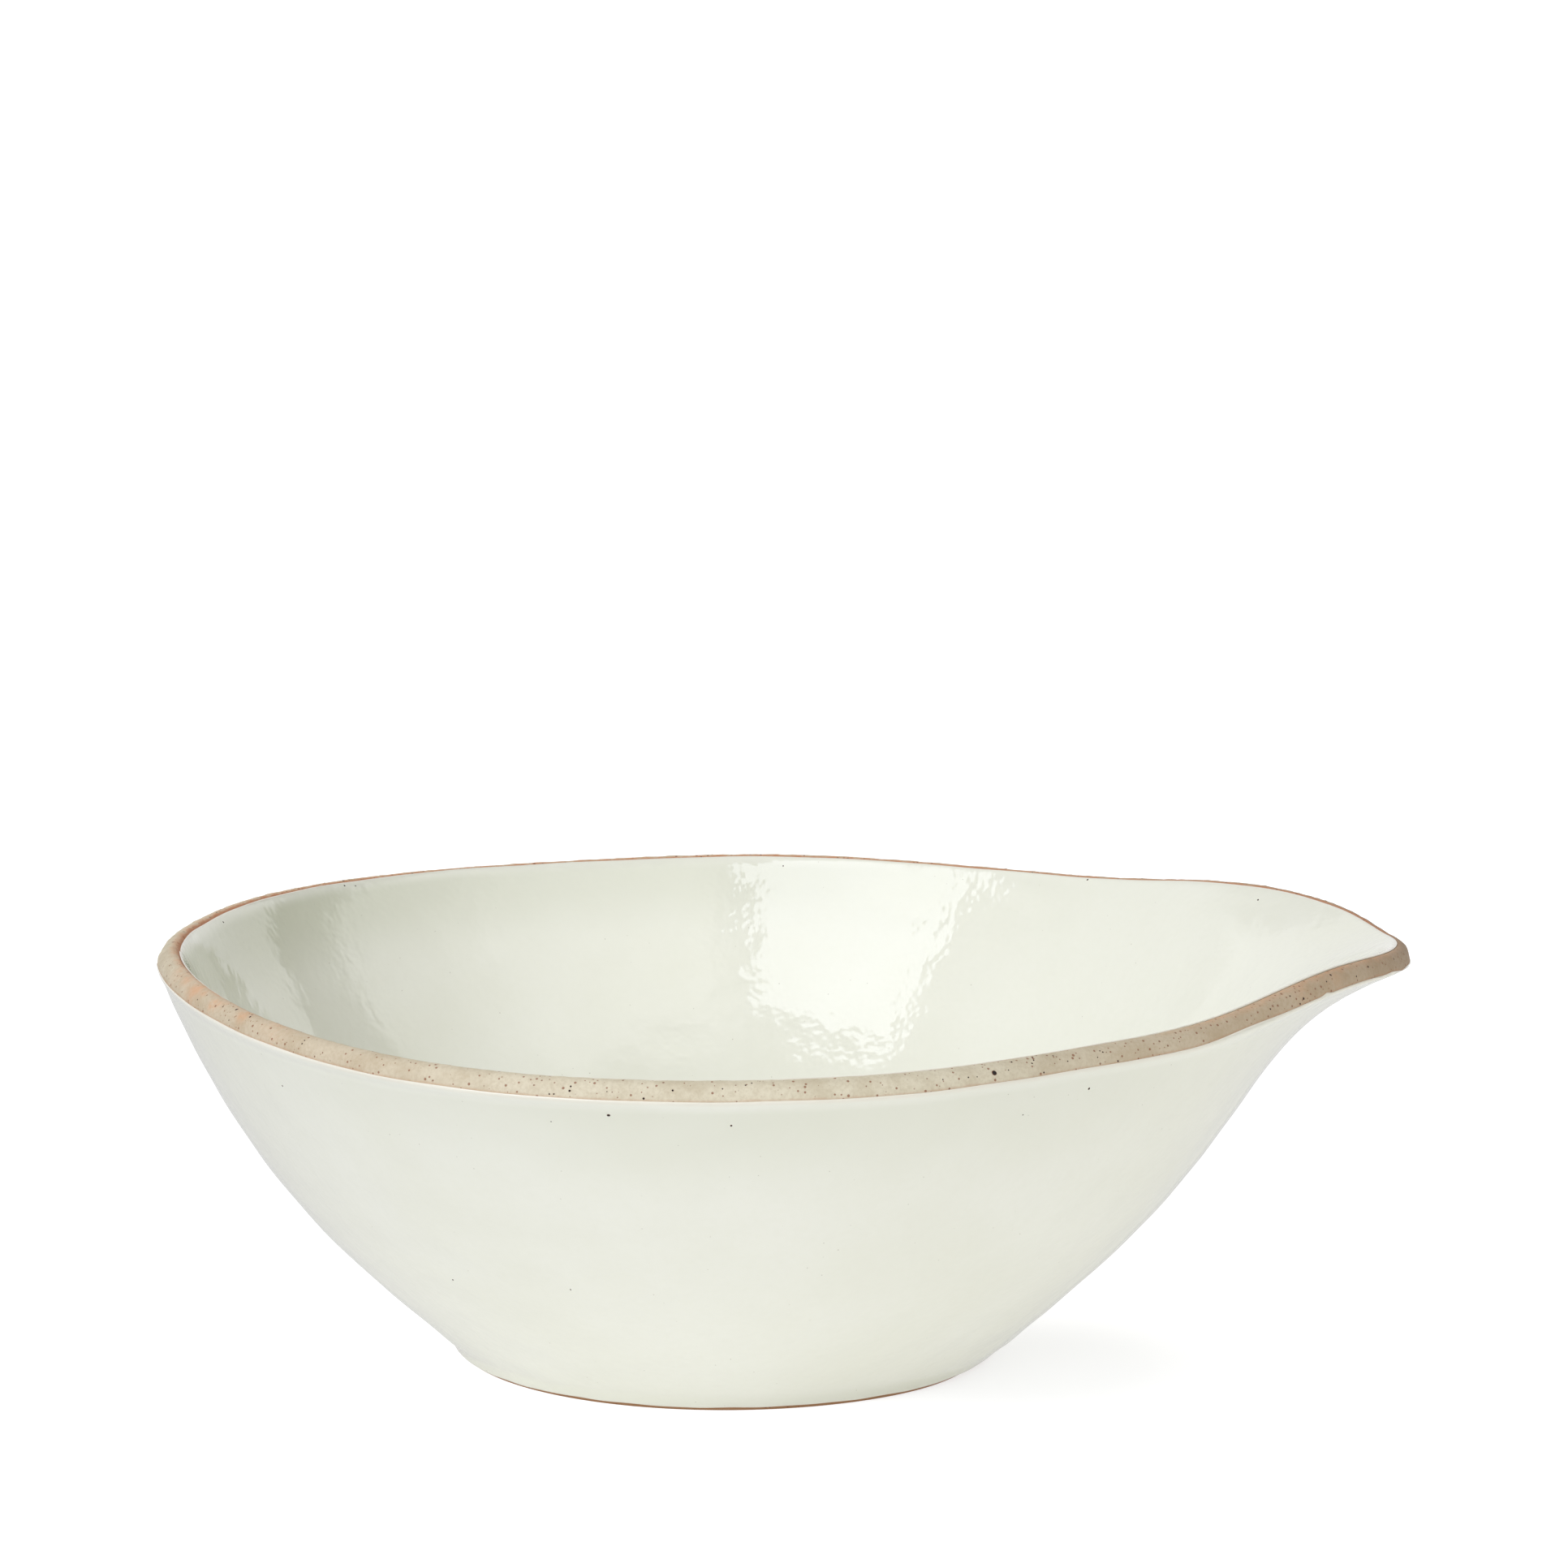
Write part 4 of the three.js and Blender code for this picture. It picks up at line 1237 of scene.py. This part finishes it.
class SALADBOWL_OT_clay_body(bpy.types.Operator):
    """Make the clay body with its bare rim and foot"""

    bl_idname = "salad_bowl.clay_body"
    bl_label = "Clay body"

    def execute(self, context):
        settings = context.scene.salad_bowl
        bowl = Bowl(settings.sizes)
        mesh = clay_mesh(bowl)
        mesh.materials.append(clay_material(settings.finish))
        place_piece("clay_body", mesh, "bare_clay", "stoneware_body")
        return {"FINISHED"}


class SALADBOWL_OT_glaze_coats(bpy.types.Operator):
    """Make the glaze coats inside, outside and under the base"""

    bl_idname = "salad_bowl.glaze_coats"
    bl_label = "Glaze coats"

    def execute(self, context):
        settings = context.scene.salad_bowl
        bowl = Bowl(settings.sizes)
        # Name, mesh and node, then the glaze's depth, its painted shade under the rim, the reach of that, and its
        # ripples
        coats = (
            ("inside_glaze_coat", inside_coat_mesh, "inside_glaze", 0.2, 0.7, 16.0, 1.0),
            ("outside_glaze_coat", outside_coat_mesh, "outside_glaze", 0.0, 0.38, 24.0, 0.4),
            ("base_glaze_coat", base_coat_mesh, "base_glaze", 0.2, 0.0, 10.0, 0.7),
        )
        for name, make_mesh, node, *look in coats:
            mesh = make_mesh(bowl)
            mesh.materials.append(glaze_material(name, settings.finish, *look))
            place_piece(name, mesh, node, node)
        return {"FINISHED"}


class SALADBOWL_OT_iron_specks(bpy.types.Operator):
    """Set iron specks into the bare rim and the glaze, and blushes beside them"""

    bl_idname = "salad_bowl.iron_specks"
    bl_label = "Iron specks"

    def execute(self, context):
        settings = context.scene.salad_bowl
        stage, finish = settings.stage, settings.finish
        tree = speck_tree()
        pieces = bpy.data.objects
        rim = [(p, n, rest[0] * MM) for p, n, rest in seen_places(stage, RIM_SPECKS)]
        rim += hidden_places(pieces["clay_body"], radii=(0.12, 0.34), count=60, seed=51, keep=self.on_hidden_rim)
        glaze = [(p, n, rest[0] * MM) for p, n, rest in seen_places(stage, GLAZE_SPECKS)]
        coated = (("outside_glaze_coat", 18, 52, self.behind), ("inside_glaze_coat", 14, 53, self.inside_front))
        for name, count, seed, keep in coated:
            glaze += hidden_places(pieces[name], radii=(0.12, 0.36), count=count, seed=seed, keep=keep)
        self.tint_clay(pieces["clay_body"].data, settings)
        kinds = (("rim_iron_specks", rim, 0.7, "bare_clay"), ("glaze_iron_specks", glaze, 0.12, "outside_glaze"))
        for name, found, roughness, slot in kinds:
            material = iron_material(name, finish, roughness)
            places, ways, radii = zip(*found)
            mesh = speck_mesh(name, tree, places, ways, radii, material)
            place_piece(name, mesh, slot)
        return {"FINISHED"}

    def on_hidden_rim(self, place, normal):
        """Whether a point lies on the far side's rim and doesn't face down or inwards."""
        outwards = normal.z > -0.2 and normal.dot(place - AXIS) > -0.02
        return place.y > RIM_BEHIND and place.z > SPECKS_ON_RIM_FROM and outwards

    def behind(self, place, normal):
        """Whether a point lies on the far wall's outside."""
        return place.y > GLAZE_BEHIND and normal.y > 0.1 and place.z < SPECKS_IN_GLAZE_TO

    def inside_front(self, place, normal):
        """Whether a point lies inside on the near wall or the floor."""
        return place.y < GLAZE_BEHIND and normal.z > 0.2 and place.z < SPECKS_IN_GLAZE_TO

    def tint_clay(self, mesh, settings):
        """Stores where the clay blushes, where it is browner (at the spout partly fire browning, partly painted
        shade), and where painted shade darkens the spout's tip.
        """
        co = np.zeros(len(mesh.vertices) * 3)
        mesh.vertices.foreach_get("co", co)
        points = co.reshape(-1, 3)
        blush = np.zeros(len(points))
        for place, _, (spread, strength) in seen_places(settings.stage, RIM_BLUSHES):
            away = np.linalg.norm(points - np.array(place), axis=1) / (spread * MM)
            blush = np.maximum(blush, strength * np.exp(-away * away))
        turn = np.arctan2(points[:, 1], points[:, 0] - AXIS.x)
        # Browner at the spout, partly fire browning and partly painted shade on its side away from the softbox;
        # browner at the back and the foot
        browned_and_shaded = SPOUT_TOAST_AND_SHADE * np.exp(-((turn / math.radians(SPOUT_TOAST_AND_SHADE_SPREAD)) ** 4))
        browned_and_shaded += BACK_TOAST * hump(turn, BACK_TOAST_TURN, BACK_TOAST_SPREAD)
        browned_and_shaded = np.where(points[:, 2] < FOOT_TOP, 1.0, browned_and_shaded)
        inner = np.zeros(len(points), np.float32)
        mesh.attributes["from_inner_edge"].data.foreach_get("value", inner)
        beside = LINE_BLUSH_STRENGTH * around(turn, LINE_BLUSH) * smooth(1 - np.abs(inner) / LINE_BLUSH_REACH)
        blush = np.maximum(blush, beside)
        add_values(mesh, "blush", blush)
        add_values(mesh, "brown_and_shade", browned_and_shaded)
        # Painted shade on the spout's tip, above the foot
        add_values(mesh, "shaded_tip", TIP_SHADE * hump(turn, 0, TIP_SHADE_SPREAD) * (points[:, 2] > FOOT_TOP))
        add_values(mesh, "flashing", around(turn, FLASHING))


class SALADBOWL_OT_stage(bpy.types.Operator):
    """Set up the photograph's camera, the soft light and the white floor"""

    bl_idname = "salad_bowl.stage"
    bl_label = "Stage"

    def execute(self, context):
        stage = context.scene.salad_bowl.stage
        make_camera(stage)
        make_softbox(stage)
        make_room(stage)
        make_floor(stage)
        make_world()
        return {"FINISHED"}


class SALADBOWL_PT_panel(bpy.types.Panel):
    """Sizes, colours and steps of the salad bowl"""

    bl_label = "Salad bowl"
    bl_idname = "SALADBOWL_PT_panel"
    bl_space_type = "VIEW_3D"
    bl_region_type = "UI"
    bl_category = "Salad bowl"

    def draw(self, context):
        settings = context.scene.salad_bowl
        for step in STEPS:
            self.layout.operator(step.bl_idname)
        for title, group in (("Sizes", settings.sizes), ("Finish", settings.finish), ("Stage", settings.stage)):
            box = self.layout.box()
            box.label(text=title)
            for name in group.bl_rna.properties.keys():
                if name not in ("rna_type", "name"):
                    box.prop(group, name)


STEPS = (SALADBOWL_OT_clay_body, SALADBOWL_OT_glaze_coats, SALADBOWL_OT_iron_specks, SALADBOWL_OT_stage)
CLASSES = (
    SaladBowlSizes, SaladBowlFinish, SaladBowlStage, SaladBowlSettings, *STEPS, SALADBOWL_PT_panel)


def register():
    for kind in CLASSES:
        bpy.utils.register_class(kind)
    bpy.types.Scene.salad_bowl = PointerProperty(type=SaladBowlSettings)


def unregister():
    del bpy.types.Scene.salad_bowl
    for kind in reversed(CLASSES):
        bpy.utils.unregister_class(kind)


def main():
    register()
    bpy.ops.salad_bowl.clay_body()
    bpy.ops.salad_bowl.glaze_coats()
    bpy.ops.salad_bowl.iron_specks()
    bpy.ops.salad_bowl.stage()


if __name__ == "__main__":
    main()
